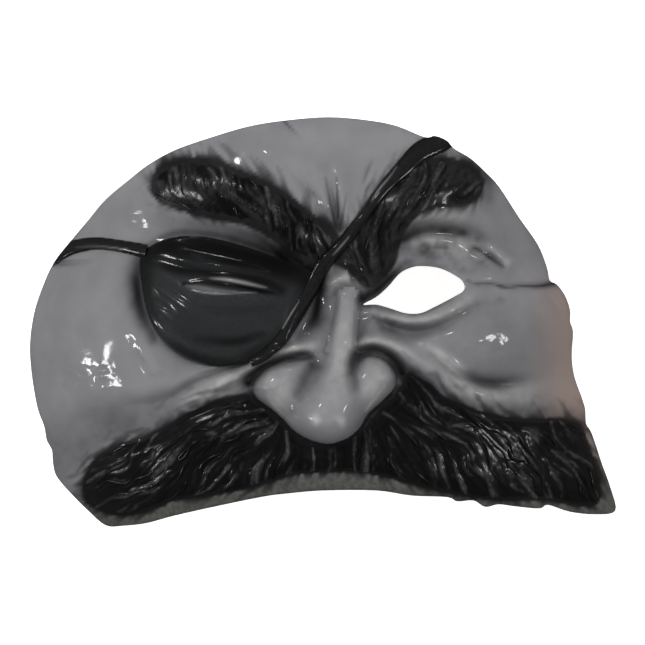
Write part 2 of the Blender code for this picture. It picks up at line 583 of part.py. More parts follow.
def prism(name, outline, group):
    """An upright cutter with the given closed outline."""
    curve = bpy.data.curves.new(name, "CURVE")
    curve.dimensions = "2D"
    curve.fill_mode = "BOTH"
    curve.extrude = (ABOVE - BELOW) / 2
    spline = curve.splines.new("POLY")
    spline.points.add(len(outline) - 1)
    for point, (x, y) in zip(spline.points, outline):
        point.co = (x, y, 0, 1)
    spline.use_cyclic_u = True
    drawn = bpy.data.objects.new(name + "_curve", curve)
    group.objects.link(drawn)
    drawn.location.z = (ABOVE + BELOW) / 2
    bpy.context.view_layer.update()
    evaluated = drawn.evaluated_get(bpy.context.evaluated_depsgraph_get())
    mesh = bmesh.new()
    data = bpy.data.meshes.new_from_object(evaluated)
    mesh.from_mesh(data)
    mesh.transform(drawn.matrix_world)
    bmesh.ops.remove_doubles(mesh, verts=mesh.verts, dist=WELD)
    bmesh.ops.recalc_face_normals(mesh, faces=mesh.faces)
    bpy.data.objects.remove(drawn)
    bpy.data.meshes.remove(data)
    return cutter(name, mesh, group)


def shape(item, tool, operation):
    """Cuts or trims an object with a cutter."""
    modifier = item.modifiers.new(operation.lower() + "_" + tool.name, "BOOLEAN")
    modifier.solver = "EXACT"
    modifier.operation = operation
    modifier.object = tool


def finish(item):
    """Gives a piece its own plain finish."""
    colour, roughness, metallic = FINISHES[item.name]
    material = bpy.data.materials.new(item.name + "_finish")
    material.use_nodes = True
    shader = material.node_tree.nodes["Principled BSDF"]
    shader.inputs["Base Color"].default_value = colour
    shader.inputs["Roughness"].default_value = roughness
    shader.inputs["Metallic"].default_value = metallic
    item.data.materials.append(material)


def strap_outline(rows, clearance=0.0):
    """The closed outline of a strap, from its middle line and half breadths."""
    line = rounded(rows)
    along = np.gradient(line[:, :2], axis=0)
    along = along / np.linalg.norm(along, axis=1)[:, None]
    side = np.stack([-along[:, 1], along[:, 0]], -1)
    half = line[:, 2:] * STRAP_BREADTH + clearance
    return np.vstack([line[:, :2] + side * half, (line[:, :2] - side * half)[::-1]])


def grown(outline, clearance):
    """A closed outline moved outward by a clearance."""
    along = np.roll(outline, -1, 0) - np.roll(outline, 1, 0)
    along = along / np.linalg.norm(along, axis=1)[:, None]
    after = np.roll(outline, -1, 0)
    turning = np.sign((outline[:, 0] * after[:, 1] - after[:, 0] * outline[:, 1]).sum())
    outward = turning * np.stack([along[:, 1], -along[:, 0]], -1)
    return outline + outward * clearance


def taper(outline, x, y, thickness):
    """Thickness that grows from a piece's edge inward."""
    inward = depth_inside(outline, x, y)
    return LAYER_EDGE + (thickness - LAYER_EDGE) * ease(inward / EDGE_RUN)


def hair_lift(outline, root, thickness):
    """A head of hair in raised locks that fan out from its root."""
    across = root[0] * HALF_WIDTH
    up = root[1] * HALF_HEIGHT
    centre = outline.mean(0)
    spread = np.hypot(*(outline - (across, up)).T).mean()
    locks = round(2 * np.pi * spread / LOCK_BREADTH)

    def lift(x, y):
        inward = ease(depth_inside(outline, x, y) / EDGE_RUN)
        angle = np.arctan2(y - up, x - across)
        sway = np.hypot(x - centre[0], y - centre[1]) / (LOCK_BREADTH * 2)
        wave = 0.5 + 0.5 * np.cos(locks * angle + np.sin(sway))
        return taper(outline, x, y, thickness) + LOCK_RISE * inward * wave

    return lift


def patch_lift(outline):
    """The patch's leather, with a rolled edge and soft folds."""

    def lift(x, y):
        height = taper(outline, x, y, PATCH_THICKNESS)
        for rows in PATCH_FOLDS:
            height = height + ridge(rows, x, y, PATCH_THICKNESS, FOLD_BREADTH)
        return np.maximum(height, LAYER_EDGE)

    return lift


def strap_lift(rows):
    """A strap with a rounded back."""

    def lift(x, y):
        distance, half = nearest_on(rounded(rows), x, y)
        off = np.clip(distance / (half[..., 0] * STRAP_BREADTH), 0, 1)
        return LAYER_EDGE + (STRAP_THICKNESS - LAYER_EDGE) * np.sqrt(1 - off ** 2)

    return lift


def layer(name, outline, lift, tools, grid, group, cutters):
    """A piece laid on the face: trimmed to its outline, and cut by what it clears."""
    x, y, z = grid
    margin = OUTER_SPACING * 2
    low = outline.min(0) - margin
    high = outline.max(0) + margin
    near = (x > low[0]) & (x < high[0]) & (y > low[1]) & (y < high[1])
    rows = np.flatnonzero(near.any(1))
    columns = np.flatnonzero(near.any(0))
    window = np.s_[rows[0]:rows[-1] + 1, columns[0]:columns[-1] + 1]
    mesh = sheet(x[window], y[window], z[window])
    bmesh.ops.subdivide_edges(mesh, edges=mesh.edges, cuts=1, use_grid_fill=True)
    places = np.array([vertex.co[:] for vertex in mesh.verts])
    tops = places[:, 2] + LAYER_GAP + lift(places[:, 0], places[:, 1])
    for vertex, top in zip(mesh.verts, tops):
        vertex.co.z = top
    item = solid(name, closed_down(mesh, BELOW / 2), group)
    shape(item, prism(name + "_outline", outline, cutters), "INTERSECT")
    for tool, operation in tools:
        shape(item, tool, operation)
    finish(item)
    return item


def build_shell(grid, rim, group, cutters):
    """The moulded face: a block cut to the rim, opened at one eye and hollowed."""
    item = solid("mask_shell", closed_down(sheet(*grid), 0), group)
    shape(item, rim, "INTERSECT")
    shape(item, prism("eye_hole", rounded(EYE_HOLE, True), cutters), "DIFFERENCE")
    x, y = settled_grid(INNER_SPACING)
    hollow = closed_down(sheet(x, y, hollow_height(x, y)), BELOW)
    shape(item, cutter("head_hollow", hollow, cutters), "DIFFERENCE")
    finish(item)
    return item


def build_layers(grid, rim, group, cutters):
    """Straps, patch, brows and moustache, each clear of the face and of its neighbours."""
    x, y, z = grid
    under = cutter("under_layers", closed_down(sheet(x, y, z + LAYER_GAP), BELOW), cutters)
    patch = rounded(PATCH, True)
    strap = prism("strap_clearance", strap_outline(STRAP_UPPER, LAYER_GAP), cutters)
    patch_room = prism("patch_clearance", grown(patch, LAYER_GAP), cutters)
    seat = (under, "DIFFERENCE")
    inside_rim = (rim, "INTERSECT")
    clear_strap = (strap, "DIFFERENCE")
    clear_patch = (patch_room, "DIFFERENCE")
    plan = [("eye_patch", patch, patch_lift(patch), [clear_strap, seat])]
    straps = [
        ("patch_strap_upper", STRAP_UPPER, [inside_rim, seat]),
        ("patch_strap_side", STRAP_SIDE, [inside_rim, clear_patch, seat]),
    ]
    for name, rows, tools in straps:
        plan.append((name, strap_outline(rows), strap_lift(rows), tools))
    hair = [
        ("eyebrow_left", BROW_LEFT, BROW_LEFT_ROOT, BROW_THICKNESS, [clear_strap, seat]),
        ("eyebrow_right", BROW_RIGHT, BROW_RIGHT_ROOT, BROW_THICKNESS, [clear_strap, seat]),
        ("moustache", MOUSTACHE, MOUSTACHE_ROOT, MOUSTACHE_THICKNESS, [seat]),
    ]
    for name, rows, root, thickness, tools in hair:
        outline = rounded(rows, True)
        plan.append((name, outline, hair_lift(outline, root, thickness), tools))
    return [layer(*row, grid, group, cutters) for row in plan]


def main():
    for item in list(bpy.data.objects):
        bpy.data.objects.remove(item)
    group = collection("pirate_half_mask")
    cutters = collection("cutters")
    outline = rounded(OUTLINE, True)
    rim = prism("rim", outline, cutters)
    x, y = settled_grid(OUTER_SPACING)
    grid = (x, y, face_height(x, y))
    pieces = [build_shell(grid, rim, group, cutters)]
    pieces += build_layers(grid, rim, group, cutters)
    centre = (outline.min(0) + outline.max(0)) / 2
    for item in pieces + list(cutters.objects):
        item.location = (-centre[0], -centre[1], 0)


main()
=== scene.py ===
"""Looks of the pirate half mask: the moulded face, its patch, straps and hair sculpted fine
from the same tables as the solids, under a clear gloss lacquer.

Tables hold shares, as the solids do: across is a share of half the width, up a share of half
the height, and the other columns follow the size that each names. Lengths are in metres.
"""

import bmesh
import bpy
import numpy as np
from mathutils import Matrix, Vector


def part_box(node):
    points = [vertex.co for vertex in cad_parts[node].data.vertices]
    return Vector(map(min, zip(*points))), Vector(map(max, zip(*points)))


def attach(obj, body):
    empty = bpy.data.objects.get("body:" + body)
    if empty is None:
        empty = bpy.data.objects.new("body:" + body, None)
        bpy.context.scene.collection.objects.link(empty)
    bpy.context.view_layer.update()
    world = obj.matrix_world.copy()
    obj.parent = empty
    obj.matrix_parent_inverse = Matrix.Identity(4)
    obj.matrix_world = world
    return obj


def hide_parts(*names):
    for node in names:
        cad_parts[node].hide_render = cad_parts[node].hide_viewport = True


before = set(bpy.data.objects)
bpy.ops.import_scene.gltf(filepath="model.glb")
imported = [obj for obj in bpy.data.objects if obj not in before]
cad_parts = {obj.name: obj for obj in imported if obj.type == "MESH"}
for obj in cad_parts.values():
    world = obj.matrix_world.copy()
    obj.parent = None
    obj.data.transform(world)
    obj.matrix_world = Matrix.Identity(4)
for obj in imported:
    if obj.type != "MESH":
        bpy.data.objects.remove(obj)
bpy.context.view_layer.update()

# Sizes that the solids were made from
MASK_WIDTH = 0.206
MASK_HEIGHT = 0.143
VAULT_DEPTH = 0.056      # the face's height above the floor before the nose and folds
WALL = 0.0022            # the moulded wall
RIM_LIP = 0.0014         # least height of the rim's cut side
SWELL_RISE = 0.010       # broad forms of bone and cheek
SWELL_REACH = 0.020
FOLD_RISE = 0.005        # folds and creases of the skin
FOLD_BREADTH = 0.005
NOSE_RISE = 0.027        # nose tip above the face
NOSE_BREADTH = 0.010     # half the breadth of the tip
STRAP_BREADTH = 0.0050   # half the strap's breadth at its widest
HALF_WIDTH = MASK_WIDTH / 2
HALF_HEIGHT = MASK_HEIGHT / 2
NOSE_MIDDLE = (0.03, -0.20)
RIDGE_ACROSS = 0.05
FULLNESS = 3.0
BELOW = -0.02
ABOVE = 0.14

# Sizes of the fine sculpting
RIM_LEAST = RIM_LIP / 4  # height left at the rounded rim
RIM_ROUND = 0.0011       # the rounding of the cut rim and of the eye's edge
EYE_ROUND = 0.0009
LINE_RISE = 0.0010       # fine lines of the skin
LINE_BREADTH = 0.0016
RUN_RISE = 0.00022       # runs and beads of thick lacquer
RUN_BREADTH = 0.0009
HAND_RISE = 0.00012      # unevenness that a hand-smoothed model leaves
HAND_SIZE = 0.011
PROBE = 0.0012           # how far apart neighbouring places are compared
LUMP_RISE = 0.00020      # lumps of pooled lacquer
LUMP_SIZE = 0.0021
FINER_LUMPS = (2.3, 0.35)   # smaller lumps on them: how many times smaller, and their share
CLUSTER_SIZE = 0.009
CLUSTER_SHARE = 0.55     # how much of a cluster is lumpy, and how sharply it breaks up
CLUSTER_CONTRAST = 0.9
PATCH_EDGE = 0.0011      # the patch's thickness at its edge and in its middle
PATCH_THICKNESS = 0.0020
STRAP_THICKNESS = 0.0024
BROW_THICKNESS = 0.0008
MOUSTACHE_THICKNESS = 0.0022
SEAT = 0.0009            # how deep a laid-on piece is sunk in the face
PATCH_HEM = 0.0045       # how far in from its edge the patch gains its full thickness
PATCH_LEAST = 0.6        # its thinnest place, as a share of its edge
PATCH_ROUND = 0.0009
PATCH_WAVE_RISE = 0.00012
PATCH_WAVE_SIZE = 0.0060
STRAP_FLANK = 0.15       # the strap's side as a share of its thickness
STRAP_WAVE_RISE = 0.00014
STRAP_WAVE_SIZE = 0.0045
HAIR_EDGE = 0.0052       # how far in from its outline hair gains its full height
HAIR_SINK = 0.0003       # how deep the hair's outline lies in the skin
STRAND_START = 0.15      # how strong the drawn-out grain is where a strand starts to rise
STRAND_SPAN = 0.75
STRAND_CONTRAST = 1.1    # how sharply strands break up the grey and the paint
FINE_RISE = 0.00020      # finer strands between them
FINE_BREADTH = 0.0011
FINE_LENGTH = 0.0075
GREY_BREADTH = 0.8 * FINE_BREADTH
COMB_BLEND = 9e-6        # how softly one direction of the comb gives way to the next
COMB_POWER = -1.5
COMB_STEPS = 10
COMB_WAVE = 0.50         # how far the strands sway from the comb, in radians
WAVE_SIZE = 0.0060

# Sizes of the finishes' patterns
MOTTLE_SIZE = 0.014
BLOTCH_SIZE = 0.0035
SPECK_SIZE = 0.0016
RIPPLE_SIZE = 0.0060     # the gloss coat's ripples, with their height
RIPPLE_RISE = 0.00003
BEAD_SIZE = 0.0018       # beads where the gloss is lumpy
FIBRE_SIZE = 0.0020
FIBRE_RISE = 0.0003
GRAIN_SIZE = 0.0012
GRAIN_RISE = 0.00003

# Fineness of the surfaces
COARSE_SPACING = 0.0055
INNER_SPACING = 0.0030
NEAR_SHARE = 0.6         # the nearer of two rings of places, as a share of the spacing
RING_PLACES = 8
SHELL_FINENESS = 9
LAYER_FINENESS = 11
GRID_MARGIN = 1.05
GRID_FOCUS = 0.72
SETTLING_STEPS = 24
SETTLING_PULL = 3.0
CURVE_STEPS = 4
BATCH = 20000            # places worked on at a time
REACHES = 3.2            # how many breadths away a ridge still counts
LATTICE = 64
LAYER_MARGIN = 0.002     # how far the grid goes past a laid-on piece

# How sharply each kind of form or paint falls away from its middle
FOLD_POWER = 2.2
CREASE_POWER = 1.8
HOLLOW_POWER = 2
CREST_POWER = 2.4
PUFF_POWER = 2.2
LINE_POWER = 2
RUN_POWER = 2.4
CLUSTER_POWER = 3
PAINT_POWER = 2
LIP_POWER = 3
STREAK_POWER = 2.5
SPRAY_POWER = 1.4

# Seeds of the uneven patterns
SEEDS = {
    "hand": 3, "lumps": 5, "clusters": 9, "patch": 11, "strap": 21, "paint": 61,
    "strokes": 71, "sway": 81,
}

# The head's sections from chin side to forehead: up, crown as a share of the vault's depth,
# and the left and right edges across, where the section reaches the floor
HEAD_SECTIONS = [
    (-1.1, 0.84, -0.78, 1.085),
    (-0.95, 0.88, -0.835, 1.035),
    (-0.7, 0.93, -0.955, 0.985),
    (-0.4, 0.95, -1.01, 0.92),
    (-0.1, 0.94, -1.028, 0.882),
    (0.2, 0.93, -0.98, 0.83),
    (0.4, 0.96, -0.895, 0.77),
    (0.6, 0.96, -0.875, 0.76),
    (0.8, 0.87, -0.85, 0.75),
    (1.05, 0.64, -0.8, 0.7),
]

# The cut rim, from the lower left corner over the forehead to the lower right: across, up
OUTLINE = [
    (-0.74, -1.0), (-0.8, -0.93), (-0.86, -0.845), (-0.91, -0.76), (-0.922, -0.69),
    (-0.925, -0.63), (-0.943, -0.58), (-0.952, -0.51), (-0.975, -0.42), (-0.995, -0.25),
    (-1.0, -0.1), (-0.985, 0.05), (-0.955, 0.18), (-0.92, 0.29), (-0.86, 0.4),
    (-0.8, 0.5), (-0.74, 0.6), (-0.655, 0.7), (-0.59, 0.77), (-0.5, 0.84),
    (-0.38, 0.9), (-0.25, 0.955), (-0.12, 0.985), (0.02, 1.0), (0.15, 0.985),
    (0.25, 0.957), (0.345, 0.902), (0.38, 0.908), (0.42, 0.885), (0.447, 0.845),
    (0.5, 0.8), (0.55, 0.735), (0.6, 0.66), (0.67, 0.51), (0.735, 0.38),
    (0.765, 0.27), (0.775, 0.205), (0.8, 0.185), (0.828, 0.13), (0.845, 0.06),
    (0.845, 0.0), (0.855, -0.05), (0.85, -0.17), (0.86, -0.27), (0.885, -0.37),
    (0.897, -0.43), (0.9, -0.5), (0.92, -0.55), (0.955, -0.7), (0.985, -0.82),
    (1.0, -0.93), (0.93, -0.945), (0.84, -0.93), (0.765, -0.895), (0.735, -0.912),
    (0.65, -0.9), (0.595, -0.89), (0.55, -0.902), (0.51, -0.87), (0.455, -0.874),
    (0.42, -0.853), (0.3, -0.845), (0.18, -0.82), (0.0, -0.82), (-0.12, -0.835),
    (-0.2, -0.85), (-0.35, -0.895), (-0.5, -0.945), (-0.6, -0.985), (-0.68, -1.0),
]

# The open eye: across, up
EYE_HOLE = [
    (0.137, 0.085), (0.18, 0.12), (0.22, 0.17), (0.26, 0.235), (0.3, 0.265),
    (0.34, 0.272), (0.4, 0.26), (0.45, 0.225), (0.475, 0.195), (0.478, 0.155),
    (0.44, 0.12), (0.38, 0.075), (0.33, 0.043), (0.28, 0.043), (0.22, 0.07), (0.18, 0.085),
]

# Broad forms: across, up, rise as a share of SWELL_RISE, reach along and across as shares
# of SWELL_REACH, turn in degrees, and how boxy its top is
SWELLINGS = {
    "brow_bone_left": (-0.33, 0.6, 0.55, 1.5, 0.5, -32, 2.5),
    "brow_bone_left_inner": (-0.1, 0.42, 0.5, 0.7, 0.4, -50, 2.3),
    "brow_bone_right": (0.4, 0.62, 0.55, 1.1, 0.45, 25, 2.5),
    "brow_bone_right_inner": (0.15, 0.42, 0.45, 0.75, 0.45, 60, 2.3),
    "frown": (0.03, 0.56, 0.2, 0.6, 0.45, 90, 2.0),
    "forehead_left": (-0.25, 0.82, 0.15, 1.5, 0.45, -18, 2.0),
    "socket_right": (0.4, 0.34, -0.7, 1.3, 0.45, -8, 2.4),
    "socket_inner": (0.2, 0.14, -0.5, 0.4, 0.3, 40, 2.0),
    "socket_left": (-0.33, 0.36, -0.45, 1.35, 0.3, -14, 2.4),
    "patch_cup": (-0.37, -0.01, 0.8, 1.3, 0.78, -8, 2.6),
    "nose_root_left": (-0.05, 0.04, -0.35, 0.25, 0.45, -20, 2.0),
    "cheek_right": (0.6, -0.085, 0.85, 1.3, 0.62, -3, 2.8),
    "cheek_right_side": (0.76, -0.02, 0.35, 0.6, 0.7, 0, 2.4),
    "cheek_left": (-0.78, -0.12, 0.5, 1.0, 1.2, 0, 2.4),
    "cheek_left_low": (-0.62, -0.33, 0.2, 1.3, 0.4, 8, 2.4),
    "mouth": (0.02, -0.75, 0.3, 2.5, 0.8, 0, 2.4),
    "hollow_left": (-0.6, -0.46, -0.15, 1.5, 0.35, 12, 2.0),
}

# Folds that rise from the skin: across, up, rise as a share of FOLD_RISE, breadth as a
# share of FOLD_BREADTH
FOLDS = {
    "lid_right": [
        (0.25, 0.3, 0.1, 0.6), (0.33, 0.375, 0.4, 0.8), (0.43, 0.375, 0.42, 0.76),
        (0.53, 0.34, 0.38, 0.68), (0.62, 0.27, 0.2, 0.6),
    ],
    "lid_right_inner": [
        (0.33, 0.315, 0.12, 0.44), (0.42, 0.32, 0.32, 0.48), (0.5, 0.285, 0.36, 0.52),
        (0.57, 0.24, 0.2, 0.48),
    ],
    "brow_ledge_right": [
        (0.29, 0.49, 0.3, 0.6), (0.38, 0.52, 0.48, 0.72), (0.48, 0.51, 0.52, 0.8),
        (0.57, 0.44, 0.36, 0.9), (0.66, 0.33, 0.2, 1.0),
    ],
    "lower_lid_right": [
        (0.14, 0.05, 0.3, 0.4), (0.22, 0.025, 0.6, 0.48), (0.31, 0.005, 0.72, 0.52),
        (0.4, 0.04, 0.64, 0.52), (0.49, 0.11, 0.4, 0.52),
    ],
    "over_rim_crease": [
        (0.5, 0.22, 0.2, 0.7), (0.62, 0.235, 0.4, 0.9), (0.72, 0.235, 0.5, 1.0),
        (0.79, 0.24, 0.5, 1.0),
    ],
    "cheek_line_right": [
        (0.11, -0.115, 0.4, 0.52), (0.17, -0.09, 0.9, 0.6), (0.25, -0.125, 1.0, 0.68),
        (0.34, -0.22, 0.9, 0.8), (0.44, -0.315, 0.76, 0.88), (0.54, -0.385, 0.52, 1.0),
        (0.68, -0.41, 0.2, 1.1),
    ],
    "cheek_fold_right": [
        (0.34, -0.11, 0.2, 0.48), (0.4, -0.18, 0.52, 0.52), (0.47, -0.26, 0.56, 0.56),
        (0.55, -0.345, 0.44, 0.64), (0.66, -0.355, 0.28, 0.72), (0.78, -0.33, 0.1, 0.8),
    ],
    "cheek_line_left": [
        (-0.03, -0.1, 0.2, 0.48), (-0.09, -0.125, 0.8, 0.52), (-0.17, -0.165, 0.8, 0.52),
        (-0.24, -0.215, 0.64, 0.48), (-0.31, -0.275, 0.68, 0.6), (-0.4, -0.35, 0.68, 0.72),
        (-0.48, -0.42, 0.44, 0.84), (-0.58, -0.49, 0.2, 1.0),
    ],
    "cheek_fold_left": [
        (-0.27, -0.2, 0.16, 0.36), (-0.36, -0.235, 0.4, 0.44), (-0.46, -0.285, 0.48, 0.56),
        (-0.56, -0.33, 0.32, 0.68), (-0.66, -0.34, 0.12, 0.8),
    ],
    "bridge_cap": [
        (0.0, 0.12, 0.2, 0.44), (0.035, 0.185, 0.8, 0.6), (0.08, 0.215, 1.4, 0.72),
        (0.125, 0.185, 1.1, 0.6), (0.155, 0.13, 0.3, 0.44),
    ],
    "frown_left": [(-0.02, 0.75, 0.1, 0.5), (0.01, 0.62, 0.32, 0.52), (0.035, 0.5, 0.32, 0.44)],
    "frown_right": [
        (0.055, 0.75, 0.08, 0.5), (0.065, 0.62, 0.28, 0.48), (0.075, 0.5, 0.28, 0.44),
    ],
    "forehead_left": [
        (-0.19, 0.84, 0.16, 0.8), (-0.08, 0.7, 0.32, 0.9), (-0.01, 0.56, 0.36, 0.8),
    ],
    "patch_seat_left": [
        (-0.64, -0.06, 0.08, 0.4), (-0.605, -0.15, 0.24, 0.44), (-0.585, -0.24, 0.16, 0.44),
    ],
}

# Creases that sink into the skin, in the same columns
CREASES = {
    "right_rim": [
        (0.485, 0.2, 0.05, 0.16), (0.55, 0.182, 0.09, 0.18), (0.64, 0.171, 0.14, 0.2),
        (0.73, 0.176, 0.3, 0.26), (0.8, 0.188, 0.6, 0.32),
    ],
    "crow_foot": [(0.5, 0.4, 0.06, 0.24), (0.55, 0.35, 0.32, 0.24), (0.61, 0.28, 0.2, 0.2)],
    "under_lid_right": [
        (0.16, 0.03, 0.3, 0.36), (0.24, -0.03, 0.55, 0.44), (0.32, -0.055, 0.55, 0.5),
        (0.42, -0.02, 0.45, 0.5), (0.5, 0.055, 0.35, 0.44), (0.6, 0.115, 0.2, 0.4),
    ],
    "under_cheek_right": [
        (0.45, -0.235, 0.1, 0.4), (0.52, -0.285, 0.52, 0.52), (0.6, -0.305, 0.56, 0.56),
        (0.7, -0.29, 0.2, 0.6),
    ],
    "over_lid_right": [
        (0.27, 0.4, 0.2, 0.44), (0.36, 0.445, 0.5, 0.52), (0.46, 0.435, 0.56, 0.56),
        (0.54, 0.39, 0.36, 0.48),
    ],
    "over_wing_right": [
        (0.1, -0.2, 0.7, 0.36), (0.12, -0.155, 0.8, 0.32), (0.17, -0.135, 0.8, 0.3),
        (0.22, -0.165, 0.7, 0.32), (0.265, -0.23, 0.6, 0.4),
    ],
    "over_wing_left": [
        (-0.03, -0.21, 0.5, 0.3), (-0.05, -0.17, 0.6, 0.28), (-0.11, -0.175, 0.7, 0.3),
        (-0.19, -0.215, 0.7, 0.32), (-0.25, -0.275, 0.6, 0.36),
    ],
    "frown": [(0.03, 0.68, 0.08, 0.2), (0.045, 0.56, 0.36, 0.26), (0.055, 0.46, 0.48, 0.28)],
    "forehead_left": [
        (-0.17, 0.82, 0.04, 0.4), (-0.07, 0.68, 0.2, 0.36), (-0.01, 0.55, 0.2, 0.32),
    ],
    "left_rim": [(-0.93, 0.29, 0.4, 0.2), (-0.86, 0.288, 0.28, 0.18), (-0.79, 0.3, 0.08, 0.16)],
    "under_cheek_left": [
        (-0.25, -0.205, 0.3, 0.24), (-0.34, -0.245, 0.44, 0.28), (-0.44, -0.3, 0.4, 0.32),
        (-0.53, -0.385, 0.24, 0.4), (-0.66, -0.4, 0.12, 0.48),
    ],
}

# Fine lines of the skin, a sunk one with a negative rise: across, up, rise as a share of
# LINE_RISE, breadth as a share of LINE_BREADTH
LINES = {
    "frown_first": [(0.012, 0.7, -0.2, 0.6), (0.025, 0.58, -0.8, 0.7), (0.045, 0.46, -1.2, 0.8)],
    "frown_second": [(0.045, 0.69, -0.3, 0.5), (0.047, 0.6, -0.9, 0.6), (0.052, 0.5, -1.2, 0.7)],
    "frown_third": [(0.075, 0.62, -0.2, 0.5), (0.068, 0.54, -0.6, 0.6), (0.06, 0.47, -0.9, 0.7)],
    "forehead_right": [(0.165, 0.78, -0.3, 0.8), (0.15, 0.73, -0.6, 0.7), (0.138, 0.68, -0.3, 0.6)],
    "forehead_notch": [
        (-0.13, 0.98, -1.4, 0.8), (-0.105, 0.94, -0.6, 0.8), (-0.06, 0.88, -0.2, 0.9),
    ],
    "forehead_far": [(-0.15, 0.8, -0.2, 1.2), (-0.08, 0.7, -0.5, 1.0), (-0.03, 0.62, -0.3, 1.0)],
    "lid_fold": [(0.31, 0.37, 0.3, 0.8), (0.36, 0.4, 0.7, 0.9), (0.44, 0.395, 0.5, 0.9)],
    "lid_wrinkle": [(0.33, 0.345, -0.3, 0.6), (0.4, 0.352, -0.7, 0.7), (0.48, 0.325, -0.4, 0.6)],
    "lid_wrinkle_low": [
        (0.36, 0.318, -0.2, 0.5), (0.43, 0.325, -0.5, 0.5), (0.51, 0.295, -0.3, 0.5),
    ],
    "lid_wrinkle_side": [(0.5, 0.33, 0.3, 0.6), (0.55, 0.3, 0.6, 0.6), (0.6, 0.255, 0.3, 0.6)],
    "under_brow": [(0.33, 0.465, -0.3, 0.9), (0.42, 0.475, -0.6, 0.9), (0.52, 0.44, -0.3, 0.8)],
    "lid_rim": [
        (0.27, 0.265, 0.2, 0.7), (0.34, 0.295, 0.6, 0.8), (0.42, 0.285, 0.6, 0.8),
        (0.49, 0.22, 0.3, 0.8),
    ],
    "crow_foot": [(0.49, 0.385, -0.4, 0.6), (0.55, 0.335, -1.2, 0.7), (0.61, 0.275, -0.9, 0.6)],
    "crow_foot_edge": [(0.53, 0.375, 0.4, 0.8), (0.58, 0.335, 0.8, 0.9), (0.64, 0.285, 0.5, 0.8)],
    "rim_crease": [
        (0.485, 0.203, -0.5, 0.5), (0.52, 0.186, -0.7, 0.5), (0.57, 0.186, -0.6, 0.5),
        (0.62, 0.168, -0.9, 0.5), (0.68, 0.176, -0.9, 0.5), (0.73, 0.174, -1.2, 0.6),
        (0.8, 0.188, -1.6, 0.8),
    ],
    "rim_crease_second": [
        (0.74, 0.165, -0.3, 0.5), (0.78, 0.11, -0.6, 0.6), (0.81, 0.05, -0.3, 0.6),
    ],
    "under_lid": [
        (0.2, 0.0, -0.4, 0.7), (0.29, -0.035, -0.9, 0.8), (0.37, -0.03, -0.9, 0.8),
        (0.45, 0.02, -0.7, 0.8),
    ],
    "cheek_streak_upper": [
        (0.36, -0.13, 0.3, 0.7), (0.41, -0.2, 0.8, 0.8), (0.47, -0.27, 0.4, 0.8),
    ],
    "cheek_streak_lower": [
        (0.37, -0.17, -0.3, 0.8), (0.43, -0.25, -0.7, 0.8), (0.49, -0.31, -0.4, 0.8),
    ],
    "cheek_long_right": [
        (0.28, -0.16, -0.2, 0.8), (0.36, -0.245, -0.6, 0.9), (0.46, -0.335, -0.4, 0.9),
    ],
    "cheek_long_left": [
        (-0.3, -0.255, -0.5, 0.7), (-0.38, -0.3, -0.7, 0.8), (-0.47, -0.37, -0.4, 1.0),
    ],
    "cheek_short_left": [
        (-0.34, -0.215, 0.4, 0.6), (-0.42, -0.235, 0.6, 0.7), (-0.49, -0.26, 0.3, 0.8),
    ],
    "cheek_root_left": [
        (-0.62, -0.12, 0.4, 0.9), (-0.595, -0.18, 0.9, 0.9), (-0.58, -0.24, 0.5, 0.8),
    ],
    "left_rim": [(-0.93, 0.292, -1.6, 0.6), (-0.86, 0.292, -1.2, 0.5), (-0.79, 0.3, -0.4, 0.5)],
}

# Runs of thick lacquer that catch the light: across, up, rise as a share of RUN_RISE, breadth
# as a share of RUN_BREADTH
RUNS = {
    "forehead_bead": [
        (-0.165, 0.835, 0.6, 1.2), (-0.14, 0.82, 1.0, 1.6), (-0.118, 0.808, 0.5, 1.2),
    ],
    "frown_bead": [(-0.06, 0.705, 0.5, 0.8), (-0.052, 0.73, 0.8, 0.8)],
    "frown_run": [(-0.05, 0.71, 0.5, 0.7), (-0.03, 0.67, 0.7, 0.7)],
    "temple_run": [(-0.65, 0.5, 0.6, 0.8), (-0.62, 0.495, 1.0, 1.0), (-0.595, 0.47, 0.5, 0.8)],
    "strap_foot": [(-0.69, 0.415, 0.4, 0.9), (-0.66, 0.425, 0.8, 1.0), (-0.64, 0.43, 0.4, 0.8)],
    "cheek_arc": [(-0.635, -0.13, 0.5, 0.8), (-0.605, -0.17, 0.9, 0.8), (-0.59, -0.21, 0.9, 0.8)],
    "cheek_arc_low": [
        (-0.555, -0.23, 0.5, 0.8), (-0.53, -0.255, 0.9, 0.8), (-0.49, -0.26, 0.6, 0.8),
    ],
    "cheek_slit": [(-0.44, -0.238, 0.5, 0.7), (-0.37, -0.225, 0.8, 0.8), (-0.33, -0.21, 0.5, 0.7)],
    "line_left": [(-0.27, -0.265, 0.7, 0.9), (-0.25, -0.245, 1.0, 1.0), (-0.225, -0.225, 0.7, 0.8)],
    "wing_streak_right": [
        (0.147, -0.42, 0.8, 0.9), (0.165, -0.37, 1.0, 0.8), (0.188, -0.32, 0.7, 0.8),
    ],
    "wing_streak_left": [
        (-0.175, -0.36, 0.7, 1.0), (-0.155, -0.39, 1.0, 1.1), (-0.138, -0.425, 0.7, 0.9),
    ],
    "tip_bead": [(-0.028, -0.475, 1.0, 1.4), (-0.022, -0.485, 1.0, 1.4)],
    "tip_run": [(0.06, -0.42, 0.4, 1.4), (0.072, -0.46, 0.9, 1.4), (0.074, -0.5, 0.6, 1.2)],
    "ledge_run": [(0.33, 0.49, 0.5, 1.0), (0.38, 0.507, 0.9, 1.1), (0.46, 0.508, 0.8, 1.0)],
    "cheek_bead_right": [(0.515, -0.085, 0.6, 1.2), (0.525, -0.1, 0.9, 1.2)],
}

